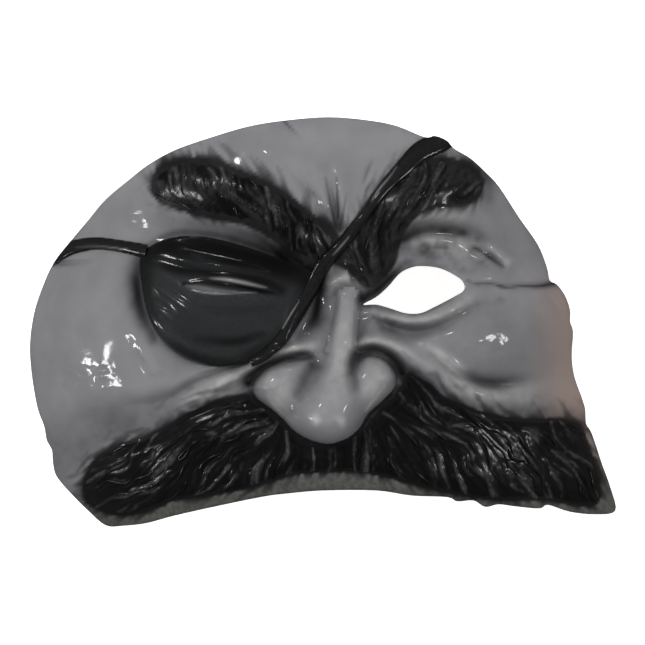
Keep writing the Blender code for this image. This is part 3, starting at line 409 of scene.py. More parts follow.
# Where the lacquer is lumpy, and where the paint is mottled: across, up, and the reach
# across and up
LUMPS = [
    (-0.8, -0.22, 0.24, 0.2), (-0.93, -0.58, 0.05, 0.04), (-0.95, -0.2, 0.05, 0.07),
    (-0.06, 0.7, 0.03, 0.05), (0.55, -0.1, 0.12, 0.1),
]
MOTTLED = [(0.43, 0.34, 0.2, 0.13), (0.2, 0.02, 0.1, 0.06), (0.56, 0.16, 0.12, 0.08)]

# The nose's outline on the face: across, up
NOSE_EDGE = [
    (0.055, 0.155), (0.043, 0.08), (0.03, -0.02), (0.012, -0.11), (-0.02, -0.165),
    (-0.08, -0.175), (-0.14, -0.19), (-0.2, -0.235), (-0.238, -0.305), (-0.225, -0.37),
    (-0.175, -0.425), (-0.135, -0.475), (-0.095, -0.535), (-0.04, -0.578), (0.02, -0.595),
    (0.08, -0.572), (0.125, -0.52), (0.155, -0.45), (0.2, -0.39), (0.245, -0.32),
    (0.25, -0.25), (0.215, -0.185), (0.165, -0.16), (0.128, -0.165), (0.117, -0.1),
    (0.122, 0.0), (0.128, 0.08), (0.125, 0.155),
]

# Sections down the nose: up, its middle across, the crest's and the wings' height as shares
# of NOSE_RISE, the crest's half breadth and the edge's radius as shares of NOSE_BREADTH
NOSE_SECTIONS = [
    (0.17, 0.09, 0.22, 0.22, 0.5, 0.3),
    (0.05, 0.083, 0.39, 0.37, 0.5, 0.32),
    (-0.08, 0.07, 0.54, 0.44, 0.52, 0.36),
    (-0.18, 0.06, 0.68, 0.5, 0.6, 0.55),
    (-0.28, 0.048, 0.81, 0.54, 0.85, 0.8),
    (-0.38, 0.034, 0.94, 0.55, 1.15, 0.9),
    (-0.47, 0.025, 0.98, 0.54, 1.3, 0.9),
    (-0.6, 0.02, 0.92, 0.48, 1.3, 0.9),
]

# The cheek's slope up to the nose: across, up, rise as a share of NOSE_RISE, breadth as a
# share of NOSE_BREADTH
NOSE_FLANK = [
    (0.065, 0.14, 0.07, 0.6), (0.05, 0.02, 0.18, 0.8), (0.04, -0.1, 0.26, 1.1),
    (0.03, -0.22, 0.28, 1.4), (0.02, -0.34, 0.26, 1.5), (0.02, -0.45, 0.22, 1.5),
]

# The hollows between the nose's bar and its wings, in the same columns
NOSE_HOLLOWS = [
    [
        (0.005, -0.17, 0.15, 0.22), (-0.018, -0.23, 0.16, 0.28), (-0.045, -0.3, 0.12, 0.32),
        (-0.075, -0.37, 0.07, 0.34), (-0.1, -0.44, 0.03, 0.3),
    ],
    [
        (0.118, -0.17, 0.17, 0.2), (0.112, -0.23, 0.18, 0.26), (0.118, -0.3, 0.13, 0.3),
        (0.135, -0.37, 0.06, 0.32), (0.15, -0.43, 0.02, 0.3),
    ],
]

# Straps from the rim to the patch: across, up, half breadth as a share of STRAP_BREADTH
STRAP_UPPER = [
    (0.43, 0.92, 0.74), (0.4, 0.88, 0.74), (0.33, 0.83, 0.72), (0.27, 0.745, 0.6),
    (0.2, 0.64, 0.46), (0.13, 0.5, 0.42), (0.06, 0.37, 0.44), (0.0, 0.27, 0.5),
    (-0.045, 0.15, 0.52), (-0.09, 0.03, 0.5), (-0.14, -0.08, 0.46), (-0.2, -0.16, 0.42),
    (-0.245, -0.195, 0.36),
]
STRAP_SIDE = [
    (-0.96, 0.29, 0.48), (-0.915, 0.325, 0.48), (-0.86, 0.365, 0.48), (-0.78, 0.385, 0.44),
    (-0.7, 0.375, 0.42), (-0.6, 0.345, 0.5),
]

# Outlines of the laid-on pieces: across, up
PATCH = [
    (-0.62, 0.31), (-0.615, 0.2), (-0.6, 0.08), (-0.575, -0.02), (-0.53, -0.11),
    (-0.46, -0.18), (-0.37, -0.215), (-0.29, -0.22), (-0.225, -0.18), (-0.15, -0.08),
    (-0.1, 0.03), (-0.053, 0.15), (-0.03, 0.235), (-0.16, 0.315), (-0.28, 0.375),
    (-0.4, 0.415), (-0.5, 0.415), (-0.58, 0.375),
]
BROW_LEFT = [
    (-0.565, 0.6), (-0.575, 0.7), (-0.54, 0.77), (-0.46, 0.8), (-0.36, 0.79),
    (-0.27, 0.73), (-0.19, 0.68), (-0.12, 0.62), (-0.05, 0.54), (0.02, 0.47),
    (0.06, 0.37), (0.02, 0.31), (-0.03, 0.275), (-0.1, 0.325), (-0.17, 0.4),
    (-0.25, 0.47), (-0.36, 0.5), (-0.47, 0.54),
]
BROW_RIGHT = [
    (0.06, 0.37), (0.03, 0.3), (0.08, 0.255), (0.155, 0.17), (0.2, 0.2), (0.24, 0.28),
    (0.26, 0.38), (0.29, 0.47), (0.33, 0.53), (0.42, 0.56), (0.5, 0.58), (0.54, 0.63),
    (0.54, 0.7), (0.5, 0.77), (0.42, 0.8), (0.33, 0.8), (0.275, 0.745), (0.2, 0.64),
    (0.13, 0.5),
]
MOUSTACHE = [
    (-0.25, -0.36), (-0.3, -0.365), (-0.38, -0.4), (-0.46, -0.45), (-0.54, -0.52),
    (-0.62, -0.57), (-0.7, -0.6), (-0.76, -0.66), (-0.8, -0.73), (-0.82, -0.82),
    (-0.8, -0.895), (-0.73, -0.94), (-0.65, -0.945), (-0.56, -0.91), (-0.5, -0.87),
    (-0.4, -0.85), (-0.3, -0.825), (-0.2, -0.79), (-0.1, -0.745), (0.0, -0.73),
    (0.1, -0.73), (0.2, -0.75), (0.3, -0.79), (0.4, -0.825), (0.5, -0.855),
    (0.6, -0.87), (0.75, -0.87), (0.84, -0.895), (0.92, -0.9), (0.95, -0.84),
    (0.93, -0.7), (0.9, -0.57), (0.87, -0.5), (0.8, -0.475), (0.7, -0.475),
    (0.6, -0.46), (0.5, -0.42), (0.42, -0.37), (0.35, -0.3), (0.29, -0.25),
    (0.262, -0.33), (0.21, -0.405), (0.165, -0.475), (0.12, -0.545), (0.02, -0.605),
    (-0.06, -0.58), (-0.14, -0.485), (-0.2, -0.41),
]

# The patch's folds of leather: across, up, rise as a share of PATCH_THICKNESS, breadth as a
# share of FOLD_BREADTH; a fold with a negative rise is a crease
PATCH_FOLDS = {
    "rolled_edge": [
        (-0.6, 0.2, 0.3, 0.5), (-0.585, 0.08, 0.6, 0.5), (-0.555, -0.02, 0.7, 0.5),
        (-0.51, -0.09, 0.7, 0.5), (-0.45, -0.15, 0.7, 0.5), (-0.37, -0.185, 0.6, 0.5),
        (-0.29, -0.19, 0.3, 0.5),
    ],
    "lid": [
        (-0.58, 0.3, 0.2, 0.6), (-0.5, 0.21, 0.6, 0.7), (-0.42, 0.15, 0.7, 0.7),
        (-0.3, 0.145, 0.6, 0.7), (-0.17, 0.14, 0.3, 0.6),
    ],
    "deep_crease": [
        (-0.57, 0.3, -0.25, 0.4), (-0.5, 0.265, -0.45, 0.45), (-0.4, 0.24, -0.45, 0.5),
        (-0.3, 0.225, -0.45, 0.5), (-0.2, 0.2, -0.4, 0.45), (-0.15, 0.16, -0.2, 0.4),
    ],
    "upper_crease": [
        (-0.5, 0.375, -0.1, 0.35), (-0.42, 0.345, -0.35, 0.35), (-0.3, 0.31, -0.35, 0.35),
        (-0.15, 0.27, -0.1, 0.35),
    ],
    "lower_crease": [
        (-0.42, -0.08, -0.1, 0.35), (-0.3, -0.1, -0.35, 0.35), (-0.2, -0.06, -0.1, 0.35),
    ],
    "slit_upper": [
        (-0.47, 0.185, -0.1, 0.16), (-0.4, 0.195, -0.4, 0.2), (-0.3, 0.178, -0.45, 0.22),
        (-0.21, 0.15, -0.4, 0.2), (-0.16, 0.14, -0.15, 0.16),
    ],
    "slit_lens": [
        (-0.38, 0.222, 0.2, 0.22), (-0.3, 0.205, 0.5, 0.26), (-0.2, 0.17, 0.25, 0.18),
    ],
    "lower_lid": [
        (-0.46, 0.165, 0.15, 0.25), (-0.38, 0.14, 0.45, 0.3), (-0.3, 0.135, 0.4, 0.28),
        (-0.22, 0.14, 0.15, 0.22),
    ],
    "faint_crease": [
        (-0.42, 0.06, -0.08, 0.3), (-0.3, 0.055, -0.28, 0.3), (-0.17, 0.09, -0.1, 0.3),
    ],
    "left_pleat": [
        (-0.585, 0.22, 0.1, 0.22), (-0.54, 0.165, 0.4, 0.22), (-0.43, 0.055, 0.2, 0.2),
    ],
    "left_pleat_low": [
        (-0.575, 0.1, 0.15, 0.25), (-0.54, 0.07, 0.4, 0.28), (-0.5, 0.03, 0.15, 0.22),
    ],
    "top_pleats": [(-0.4, 0.39, 0.1, 0.2), (-0.3, 0.36, 0.35, 0.24), (-0.18, 0.31, 0.2, 0.22)],
    "middle_pleat": [
        (-0.48, 0.305, 0.1, 0.24), (-0.35, 0.275, 0.35, 0.26), (-0.18, 0.235, 0.2, 0.24),
    ],
}

# Painted shade on the patch, deepest black in its creases and slit and along its top and edges:
# across, up, strength, breadth as a share of FOLD_BREADTH
PATCH_SHADE = {
    "top": [
        (-0.6, 0.3, 0.7, 0.9), (-0.52, 0.365, 0.85, 1.2), (-0.4, 0.365, 0.9, 1.3),
        (-0.28, 0.325, 0.9, 1.3), (-0.14, 0.27, 0.95, 1.2), (-0.06, 0.22, 0.8, 1.0),
    ],
    "slit": [
        (-0.47, 0.187, 0.7, 0.14), (-0.4, 0.192, 0.9, 0.18), (-0.3, 0.178, 1.0, 0.2),
        (-0.21, 0.152, 1.0, 0.18), (-0.165, 0.14, 0.8, 0.14),
    ],
    "crease": [
        (-0.57, 0.3, 0.5, 0.4), (-0.5, 0.262, 0.8, 0.45), (-0.4, 0.242, 0.8, 0.3),
        (-0.3, 0.228, 0.8, 0.3), (-0.2, 0.2, 0.8, 0.4), (-0.14, 0.16, 0.7, 0.5),
    ],
    "left": [(-0.605, 0.24, 0.6, 0.8), (-0.59, 0.1, 0.5, 0.5), (-0.56, -0.01, 0.4, 0.4)],
    "low": [
        (-0.5, -0.125, 0.5, 0.5), (-0.4, -0.185, 0.6, 0.5), (-0.28, -0.2, 0.6, 0.6),
        (-0.18, -0.12, 0.4, 0.5),
    ],
    "lower_crease": [
        (-0.42, -0.085, 0.3, 0.3), (-0.3, -0.1, 0.6, 0.3), (-0.2, -0.06, 0.4, 0.3),
    ],
}

# Painted highlight streaks, light grey on the black: across, up, strength, breadth as a share of
# FOLD_BREADTH
PATCH_HIGHLIGHTS = {
    "lens": [
        (-0.38, 0.213, 0.3, 0.06), (-0.33, 0.208, 0.85, 0.14), (-0.27, 0.193, 0.9, 0.16),
        (-0.19, 0.168, 0.5, 0.07),
    ],
    "lower_lid": [
        (-0.46, 0.178, 0.3, 0.1), (-0.42, 0.168, 0.35, 0.22), (-0.36, 0.152, 0.35, 0.16),
        (-0.29, 0.147, 0.3, 0.06),
    ],
    "lower_line": [
        (-0.44, 0.155, 0.5, 0.05), (-0.38, 0.14, 0.7, 0.06), (-0.3, 0.14, 0.6, 0.05),
        (-0.22, 0.145, 0.4, 0.05),
    ],
}
PROUD_FROM = 0.001       # height over the skin where the greyer colour starts, and how far up it grows
STRAP_PROUD_SPAN = 0.002
PATCH_PROUD_SPAN = 0.003
# Painted highlight streaks on the straps, in the same columns
STRAP_HIGHLIGHTS = {
    "upper_top": [
        (0.165, 0.59, 0.5, 0.04), (0.19, 0.645, 0.7, 0.05), (0.225, 0.705, 0.5, 0.04),
        (0.25, 0.755, 0.2, 0.05),
    ],
    "upper_middle": [(0.035, 0.325, 0.2, 0.05), (0.06, 0.365, 0.5, 0.06), (0.09, 0.415, 0.3, 0.05)],
    "lower": [(-0.135, -0.03, 0.5, 0.05), (-0.105, 0.045, 0.6, 0.06), (-0.08, 0.1, 0.2, 0.05)],
    "side": [
        (-0.84, 0.366, 0.1, 0.08), (-0.78, 0.372, 0.2, 0.08), (-0.72, 0.364, 0.35, 0.07),
        (-0.66, 0.352, 0.6, 0.05),
    ],
}

# Which way the hair is combed: across, up, direction in degrees
COMBS = {
    "moustache": [
        (-0.25, -0.42, 190), (-0.35, -0.47, 200), (-0.25, -0.55, 205), (-0.5, -0.6, 215),
        (-0.65, -0.66, 215), (-0.76, -0.76, 205), (-0.7, -0.88, 195), (-0.5, -0.78, 228),
        (-0.32, -0.72, 235), (-0.2, -0.7, 248), (-0.12, -0.6, 262), (0.0, -0.68, 270),
        (0.1, -0.66, 278), (0.2, -0.6, 292), (0.27, -0.58, 300), (0.25, -0.42, 315),
        (0.38, -0.45, 318), (0.45, -0.45, 330), (0.4, -0.65, 302), (0.55, -0.62, 308),
        (0.6, -0.8, 300), (0.65, -0.55, 328), (0.75, -0.72, 302), (0.85, -0.6, 318),
        (0.88, -0.8, 300),
    ],
    "eyebrow_left": [
        (0.0, 0.36, 97), (-0.08, 0.42, 105), (-0.15, 0.5, 118), (-0.12, 0.35, 120),
        (-0.25, 0.52, 140), (-0.3, 0.65, 122), (-0.42, 0.6, 130), (-0.42, 0.72, 112),
        (-0.53, 0.68, 110), (-0.5, 0.58, 150),
    ],
    "eyebrow_right": [
        (0.12, 0.28, 100), (0.15, 0.38, 85), (0.22, 0.4, 95), (0.2, 0.5, 80),
        (0.28, 0.55, 75), (0.35, 0.62, 55), (0.38, 0.72, 60), (0.45, 0.62, 42),
        (0.5, 0.68, 60), (0.33, 0.55, 45),
    ],
}

# Strands combed into the hair: their rise, breadth and length in metres, how much of their
# grey shows between the crests, and how much of it is broken up by finer strands
HAIR = {
    "moustache": (0.00046, 0.0011, 0.011, 0.06, 0.75),
    "eyebrow_left": (0.00016, 0.001, 0.0065, 0.28, 1.0),
    "eyebrow_right": (0.00036, 0.0014, 0.0085, 0.3, 0.8),
}

# Locks laid over the hair's mass: spacing, length, half breadth and half thickness, in metres
LOCKS = {
    "moustache": (0.0065, 0.014, 0.00055, 0.00042),
    "eyebrow_left": (0.008, 0.008, 0.0004, 0.00028),
    "eyebrow_right": (0.0055, 0.009, 0.0007, 0.00042),
}
HAIR_SEEDS = {"moustache": 51, "eyebrow_left": 31, "eyebrow_right": 41}
FINE_SEED = 1            # added to them for finer strands, for the grey and for the locks
GREY_SEED = 2
LOCK_SEED = 7
LOCK_STEPS = 12
LOCK_SIDES = 6
LOCK_INSET = 0.0002      # how far inside the hair's outline a lock starts
LOCK_RIM_GAP = 0.0007    # how far inside the rim all of it stays
LOCK_LENGTHS = (0.55, 1.35)   # shortest and longest, as shares of the length
LOCK_SIZES = (0.7, 1.3)  # thinnest and thickest, as shares of the half thickness
LOCK_BEND = 0.8          # bend in radians, and where along the lock it changes sides
LOCK_BEND_MIDDLE = 0.3
LOCK_SWAY = 0.38         # sway in radians, and how much of a wave it makes
LOCK_WAVE = 5
LOCK_ARCH_SPAN = 0.95    # the arch over the hair: its span, fullness, rise and how deep its
LOCK_ARCH_POWER = 0.7    # ends lie, the last two as shares of the half thickness
LOCK_RISE = 1.1
LOCK_SINK = 0.75
LOCK_TIP = 0.03          # breadth at the ends, and how fully the lock tapers to them
LOCK_TAPER = 0.8
LOCK_DROP = 0.0011       # how far the lock drops outside the hair's outline, and over what
LOCK_DROP_SPAN = 0.0022  # distance
LOCK_DROP_START = 0.3

# Painted shade and dark airbrush along folds and hollows: across, up, strength, breadth as a share of
# SPRAY_BREADTH
SPRAY_BREADTH = 0.0040
SPRAY_MOTTLE = 0.35      # unevenness of the dark paint, and more of it in mottled places
MOTTLED_MORE = 0.9
FINER_MOTTLE = (2.2, 0.6)   # smaller mottling on it: how many times smaller, and its share
SUNK_SHADE = 0.25         # painted shade: how much darker sunk places are, and how deep makes it full
SUNK_DEPTH = 0.0022
SUNK_REACH = 3 * PROBE
SUNK_PLACES = 6
STROKE_BREADTH = 1.3 * FINE_BREADTH   # strokes of the paint that fades out round the hair
STROKE_LEAST = 0.15
STROKE_MOST = 3
SPRAY_REACHES = 2.5
NOSE_SHADE = 0.0035      # reach of the painted shade under the nose, and how far down it starts
NOSE_SHADE_START = 0.26
NOSE_CLEAN_START = 0.12  # the nose itself stays clean from here down, with a sharp edge
NOSE_CLEAN_EDGE = 0.0008
NOSE_CLEAN_SHIFT = 0.3
NOSE_SPAN = 0.1
WARM_ACROSS = (0.66, 0.2)   # where the worn warm side starts and how far it takes to fill
WARM_UP = (0.05, 0.3)
INSIDE_DEPTH = 0.5       # a face is inside when this share of the wall under the skin
INSIDE_LEAN = -0.02      # and leaning down, or when it looks steeply down
INSIDE_STEEP = -0.6

# Dark paint round the laid-on pieces, with painted shade at their edges: strength, and its reach above
# and below, in metres
AROUND = {
    "eyebrow_left": (0.96, 0.0026, 0.0012),
    "eyebrow_right": (0.96, 0.0026, 0.0012),
    "moustache": (0.98, 0.0034, 0.0014),
    "patch": (0.55, 0.0022, 0.0018),
}
# Painted shade in creases, sockets and hollows and under the cheeks and nose, with dark airbrush by
# the hair and patch
SPRAYED_AND_SHADED = {
    "socket_left": [
        (-0.5, 0.45, 0.15, 1.0), (-0.38, 0.455, 0.3, 1.1), (-0.25, 0.405, 0.6, 1.3),
        (-0.14, 0.34, 0.95, 1.6), (-0.04, 0.26, 1.0, 1.5),
    ],
    "patch_top": [
        (-0.6, 0.37, 0.6, 0.4), (-0.5, 0.43, 0.65, 0.45), (-0.38, 0.425, 0.7, 0.5),
        (-0.26, 0.385, 0.8, 0.7), (-0.12, 0.31, 1.0, 0.9),
    ],
    "brow_foot": [(-0.22, 0.42, 0.7, 0.9), (-0.15, 0.33, 1.0, 1.2), (-0.09, 0.26, 1.0, 1.1)],
    "brow_far_right": [(0.52, 0.78, 0.7, 0.7), (0.555, 0.71, 0.7, 0.9), (0.56, 0.62, 0.4, 0.8)],
    "brow_top_right": [(0.32, 0.79, 0.75, 0.6), (0.4, 0.815, 0.45, 0.7), (0.48, 0.8, 0.6, 0.6)],
    "patch_side": [
        (-0.61, 0.36, 0.5, 0.7), (-0.63, 0.22, 0.95, 0.9), (-0.615, 0.06, 0.95, 0.9),
        (-0.57, -0.07, 0.7, 0.7),
    ],
    "nose_side": [
        (0.0, 0.215, 1.0, 0.7), (-0.015, 0.1, 1.0, 1.0), (-0.035, 0.0, 0.95, 1.1),
        (-0.08, -0.06, 0.6, 0.8),
    ],
    "patch_foot": [
        (-0.12, -0.1, 0.6, 0.6), (-0.18, -0.165, 0.7, 0.6), (-0.26, -0.21, 0.5, 0.5),
        (-0.36, -0.24, 0.2, 0.5),
    ],
    "over_wing_left": [
        (-0.025, -0.215, 0.6, 0.5), (-0.04, -0.175, 0.45, 0.45), (-0.12, -0.18, 0.5, 0.5),
        (-0.2, -0.215, 0.7, 0.5), (-0.25, -0.3, 1.0, 0.7),
    ],
    "over_wing_right": [
        (0.095, -0.25, 0.6, 0.5), (0.105, -0.19, 0.6, 0.5), (0.14, -0.145, 0.6, 0.5),
        (0.19, -0.14, 0.7, 0.5), (0.235, -0.18, 0.9, 0.55), (0.27, -0.25, 1.0, 0.8),
    ],
    "wing_hollow_left": [
        (-0.04, -0.21, 0.5, 0.6), (-0.075, -0.31, 0.55, 0.7), (-0.105, -0.42, 0.35, 0.6),
    ],
    "wing_hollow_right": [(0.095, -0.25, 0.4, 0.5), (0.105, -0.32, 0.35, 0.5)],
    "under_lid": [
        (0.17, 0.02, 0.6, 0.6), (0.24, -0.025, 0.55, 0.6), (0.33, -0.045, 0.4, 0.6),
        (0.44, 0.005, 0.25, 0.5), (0.52, 0.08, 0.15, 0.5),
    ],
    "socket": [
        (0.27, 0.36, 0.6, 1.0), (0.36, 0.34, 0.42, 1.2), (0.47, 0.33, 0.34, 1.3),
        (0.56, 0.3, 0.25, 1.0), (0.62, 0.26, 0.1, 0.8),
    ],
    "over_lid": [
        (0.27, 0.41, 0.9, 0.8), (0.33, 0.452, 0.75, 0.8), (0.41, 0.452, 0.6, 0.6),
        (0.49, 0.43, 0.45, 0.5), (0.55, 0.39, 0.2, 0.4),
    ],
    "lid_line": [
        (0.31, 0.35, 0.2, 0.2), (0.38, 0.362, 0.55, 0.16), (0.46, 0.348, 0.5, 0.16),
        (0.52, 0.315, 0.2, 0.2),
    ],
    "eye_inner": [
        (0.135, 0.115, 1.0, 0.6), (0.18, 0.155, 1.0, 0.7), (0.235, 0.225, 0.95, 0.7),
        (0.29, 0.295, 0.6, 0.6),
    ],
    "eye_lower": [
        (0.15, 0.08, 0.5, 0.3), (0.25, 0.055, 0.4, 0.22), (0.33, 0.04, 0.35, 0.2),
        (0.44, 0.115, 0.3, 0.2),
    ],
    "crow_foot": [
        (0.49, 0.385, 0.3, 0.22), (0.545, 0.338, 0.9, 0.24), (0.6, 0.283, 0.7, 0.2),
        (0.62, 0.265, 0.2, 0.2),
    ],
    "cheek_right_soft": [
        (0.48, -0.01, 0.14, 2.6), (0.6, -0.04, 0.2, 2.8), (0.72, -0.06, 0.1, 2.4),
    ],
    "rim_crease": [
        (0.49, 0.203, 0.4, 0.14), (0.52, 0.186, 0.6, 0.12), (0.57, 0.186, 0.6, 0.12),
        (0.62, 0.168, 0.7, 0.13), (0.68, 0.176, 0.7, 0.12), (0.73, 0.174, 0.8, 0.14),
        (0.79, 0.19, 0.9, 0.2),
    ],
    "under_cheek": [
        (0.45, -0.24, 0.3, 0.5), (0.53, -0.285, 0.7, 0.6), (0.6, -0.295, 0.6, 0.6),
        (0.68, -0.27, 0.2, 0.6),
    ],
    "under_left": [
        (-0.27, -0.225, 0.35, 0.25), (-0.36, -0.262, 0.25, 0.3), (-0.46, -0.32, 0.15, 0.5),
    ],
    "frown": [(0.02, 0.66, 0.15, 0.4), (0.04, 0.55, 0.3, 0.45), (0.055, 0.45, 0.8, 0.6)],
    "furrow_first": [(0.01, 0.7, 0.3, 0.12), (0.026, 0.58, 0.7, 0.14), (0.045, 0.46, 0.9, 0.22)],
    "furrow_second": [(0.046, 0.7, 0.3, 0.12), (0.049, 0.6, 0.7, 0.12), (0.053, 0.5, 0.9, 0.16)],
    "furrow_third": [(0.08, 0.62, 0.2, 0.12), (0.07, 0.54, 0.5, 0.12), (0.06, 0.47, 0.8, 0.16)],
    "forehead_notch": [
        (-0.13, 0.985, 0.9, 0.12), (-0.115, 0.955, 0.6, 0.1), (-0.08, 0.91, 0.2, 0.1),
    ],
    "forehead_line": [(0.165, 0.78, 0.2, 0.18), (0.15, 0.73, 0.35, 0.16), (0.138, 0.68, 0.2, 0.14)],
    "cheek_low_left": [
        (-0.9, -0.66, 0.3, 2.2), (-0.75, -0.55, 0.42, 2.4), (-0.6, -0.49, 0.4, 1.8),
        (-0.47, -0.43, 0.3, 0.9),
    ],
    "cheek_low_right": [
        (0.3, -0.25, 0.9, 0.8), (0.42, -0.37, 0.6, 0.9), (0.55, -0.43, 0.6, 1.0),
        (0.72, -0.45, 0.6, 1.2), (0.88, -0.49, 0.5, 1.2),
    ],
}

# Painted highlights on the skin's ridges, rims and lit edges: across, up, strength, breadth as above
PAINTED_HIGHLIGHTS = {
    "lid": [
        (0.3, 0.36, 0.4, 0.6), (0.38, 0.385, 0.8, 0.7), (0.47, 0.375, 0.7, 0.7),
        (0.55, 0.32, 0.3, 0.6),
    ],
    "ledge": [(0.32, 0.49, 0.4, 0.5), (0.38, 0.508, 0.7, 0.5), (0.47, 0.505, 0.6, 0.5)],
    "crow_foot": [(0.57, 0.36, 0.5, 0.3), (0.63, 0.295, 0.7, 0.35)],
    "lower_lid": [
        (0.16, 0.05, 0.3, 0.4), (0.3, 0.005, 0.6, 0.5), (0.42, 0.04, 0.6, 0.5),
        (0.5, 0.12, 0.4, 0.5),
    ],
    "cap": [(0.02, 0.15, 0.3, 0.4), (0.06, 0.2, 0.6, 0.5), (0.11, 0.18, 0.4, 0.4)],
    "line_left": [
        (-0.04, -0.12, 0.4, 0.4), (-0.1, -0.13, 0.8, 0.4), (-0.17, -0.165, 0.5, 0.4),
        (-0.26, -0.25, 0.8, 0.5), (-0.35, -0.32, 1.0, 1.0), (-0.44, -0.385, 0.5, 0.9),
    ],
    "low_right": [(0.42, -0.29, 0.3, 0.6), (0.54, -0.365, 0.7, 0.9), (0.68, -0.38, 0.4, 1.0)],
    "line_right": [
        (0.12, -0.105, 0.5, 0.4), (0.18, -0.09, 0.7, 0.5), (0.26, -0.13, 0.6, 0.5),
        (0.36, -0.22, 0.3, 0.6),
    ],
    "cheek_right": [
        (0.36, -0.115, 0.5, 0.3), (0.41, -0.165, 0.9, 0.36), (0.47, -0.225, 0.5, 0.3),
    ],
    "cheek_right_low": [
        (0.38, -0.175, 0.3, 0.25), (0.43, -0.225, 0.7, 0.25), (0.48, -0.26, 0.3, 0.2),
    ],
    "wing_left": [(-0.18, -0.27, 0.4, 1.2), (-0.14, -0.36, 0.5, 1.4)],
    "wing_right": [(0.19, -0.23, 0.4, 1.2), (0.17, -0.33, 0.4, 1.2)],
    "wing_edge_left": [
        (-0.186, -0.355, 0.6, 0.2), (-0.165, -0.4, 1.0, 0.28), (-0.137, -0.45, 0.5, 0.2),
    ],
    "wing_edge_right": [
        (0.148, -0.425, 0.7, 0.22), (0.175, -0.37, 1.0, 0.22), (0.208, -0.31, 0.6, 0.2),
    ],
    "tip_left": [(-0.026, -0.465, 1.0, 0.45), (-0.022, -0.475, 1.0, 0.45)],
    "tip_right": [(0.06, -0.47, 0.9, 0.4), (0.063, -0.485, 0.9, 0.4)],
    "brow_gap": [(0.3, 0.8, 0.3, 0.5), (0.38, 0.83, 0.4, 0.6), (0.45, 0.82, 0.2, 0.5)],
    "nose_bar": [
        (0.085, 0.08, 0.3, 0.7), (0.065, -0.1, 0.5, 0.9), (0.05, -0.28, 0.4, 1.2),
        (0.03, -0.42, 0.2, 1.6),
    ],
}

# The dark grey lip that shows below the moustache: across, up, strength, breadth as above
LIP = [
    (-0.84, -0.87, 0.5, 1.0), (-0.74, -0.97, 1.0, 1.6), (-0.6, -0.96, 1.0, 1.6),
    (-0.4, -0.9, 1.0, 1.6), (-0.2, -0.84, 1.0, 1.6), (0.0, -0.8, 1.0, 2.0),
    (0.2, -0.81, 1.0, 1.8), (0.4, -0.85, 1.0, 1.4), (0.6, -0.89, 1.0, 1.2),
    (0.8, -0.92, 1.0, 1.4), (0.97, -0.92, 1.0, 1.6), (0.97, -0.76, 0.9, 1.0),
    (0.935, -0.62, 0.5, 0.8),
]

# Black enamels for each slot: name, colour, colour of its raised places and crests, roughness of the
# paint and of its clear coat
BLACKS = {
    "hair": ("black_gloss_hair", "#070708", "#555457", 0.35, 0.19),
    "strap": ("black_gloss_strap", "#0b0b0c", "#2c2c2d", 0.3, 0.12),
    "patch": ("black_gloss_leather", "#202122", "#3d3e3f", 0.3, 0.11),
}
SHARP_FROM = {"shell": 40, "strap": 60, "patch": 60, "hair": 70}   # degrees

# The studio, in metres: lamps with their place, side lengths, power in watts, and whether they
# show in the gloss and light the paint
LAMPS = {
    "sky": ((0.0, 0.0, 2.5), (3.0, 3.0), 37.5, False, True),
    "key": ((-1.0, 0.9, 1.9), (1.4, 1.4), 34, False, True),
    "fill": ((1.3, 0.2, 1.6), (1.2, 1.2), 12, False, True),
    "glint_left": ((-1.2, -0.05, 0.42), (0.13, 0.13), 1.0, True, False),
    "glint_low_left": ((-1.25, -0.12, 0.1), (0.11, 0.1), 0.8, True, False),
    "glint_upper_left": ((-0.8, 0.65, 0.55), (0.09, 0.09), 0.6, True, False),
    "glint_top": ((-0.25, 1.2, 0.55), (0.08, 0.06), 0.7, True, False),
    "glint_right": ((1.15, 0.2, 0.5), (0.15, 0.15), 0.9, True, False),
}
LIGHT_AIM = (0, 0, 0.03)
WORLD_LIGHT = 0.035
SQUARE = [(-1, -1), (1, -1), (1, 1), (-1, 1)]
FLOOR_REACH = 3.0
FLOOR_GAP = 0.0002
CAMERA_DISTANCE = 4.0
CAMERA_REACH = 20
CAMERA_PLACE = (-0.00018, 0.0, CAMERA_DISTANCE + 0.01)
VIEW_WIDTH = 0.2267


def placed(rows):
    """Rows of shares with their first two columns as metres across and up."""
    rows = np.array(rows, float)
    rows[:, 0] *= HALF_WIDTH
    rows[:, 1] *= HALF_HEIGHT
    return rows


def rounded(rows, closed=False):
    """A smooth line through the rows, with all their columns."""
    rows = placed(rows)
    if closed:
        padded = np.vstack([rows[-1:], rows, rows[:2]])
    else:
        padded = np.vstack([2 * rows[0] - rows[1], rows, 2 * rows[-1] - rows[-2]])
    share = np.linspace(0, 1, CURVE_STEPS, endpoint=False)[:, None]
    stretches = []
    for a, b, c, d in zip(padded, padded[1:], padded[2:], padded[3:]):
        bend = (c - a) * share + (2 * a - 5 * b + 4 * c - d) * share ** 2
        stretches.append(b + (bend + (3 * b - a - 3 * c + d) * share ** 3) / 2)
    if not closed:
        stretches.append(rows[-1:])
    return np.vstack(stretches)


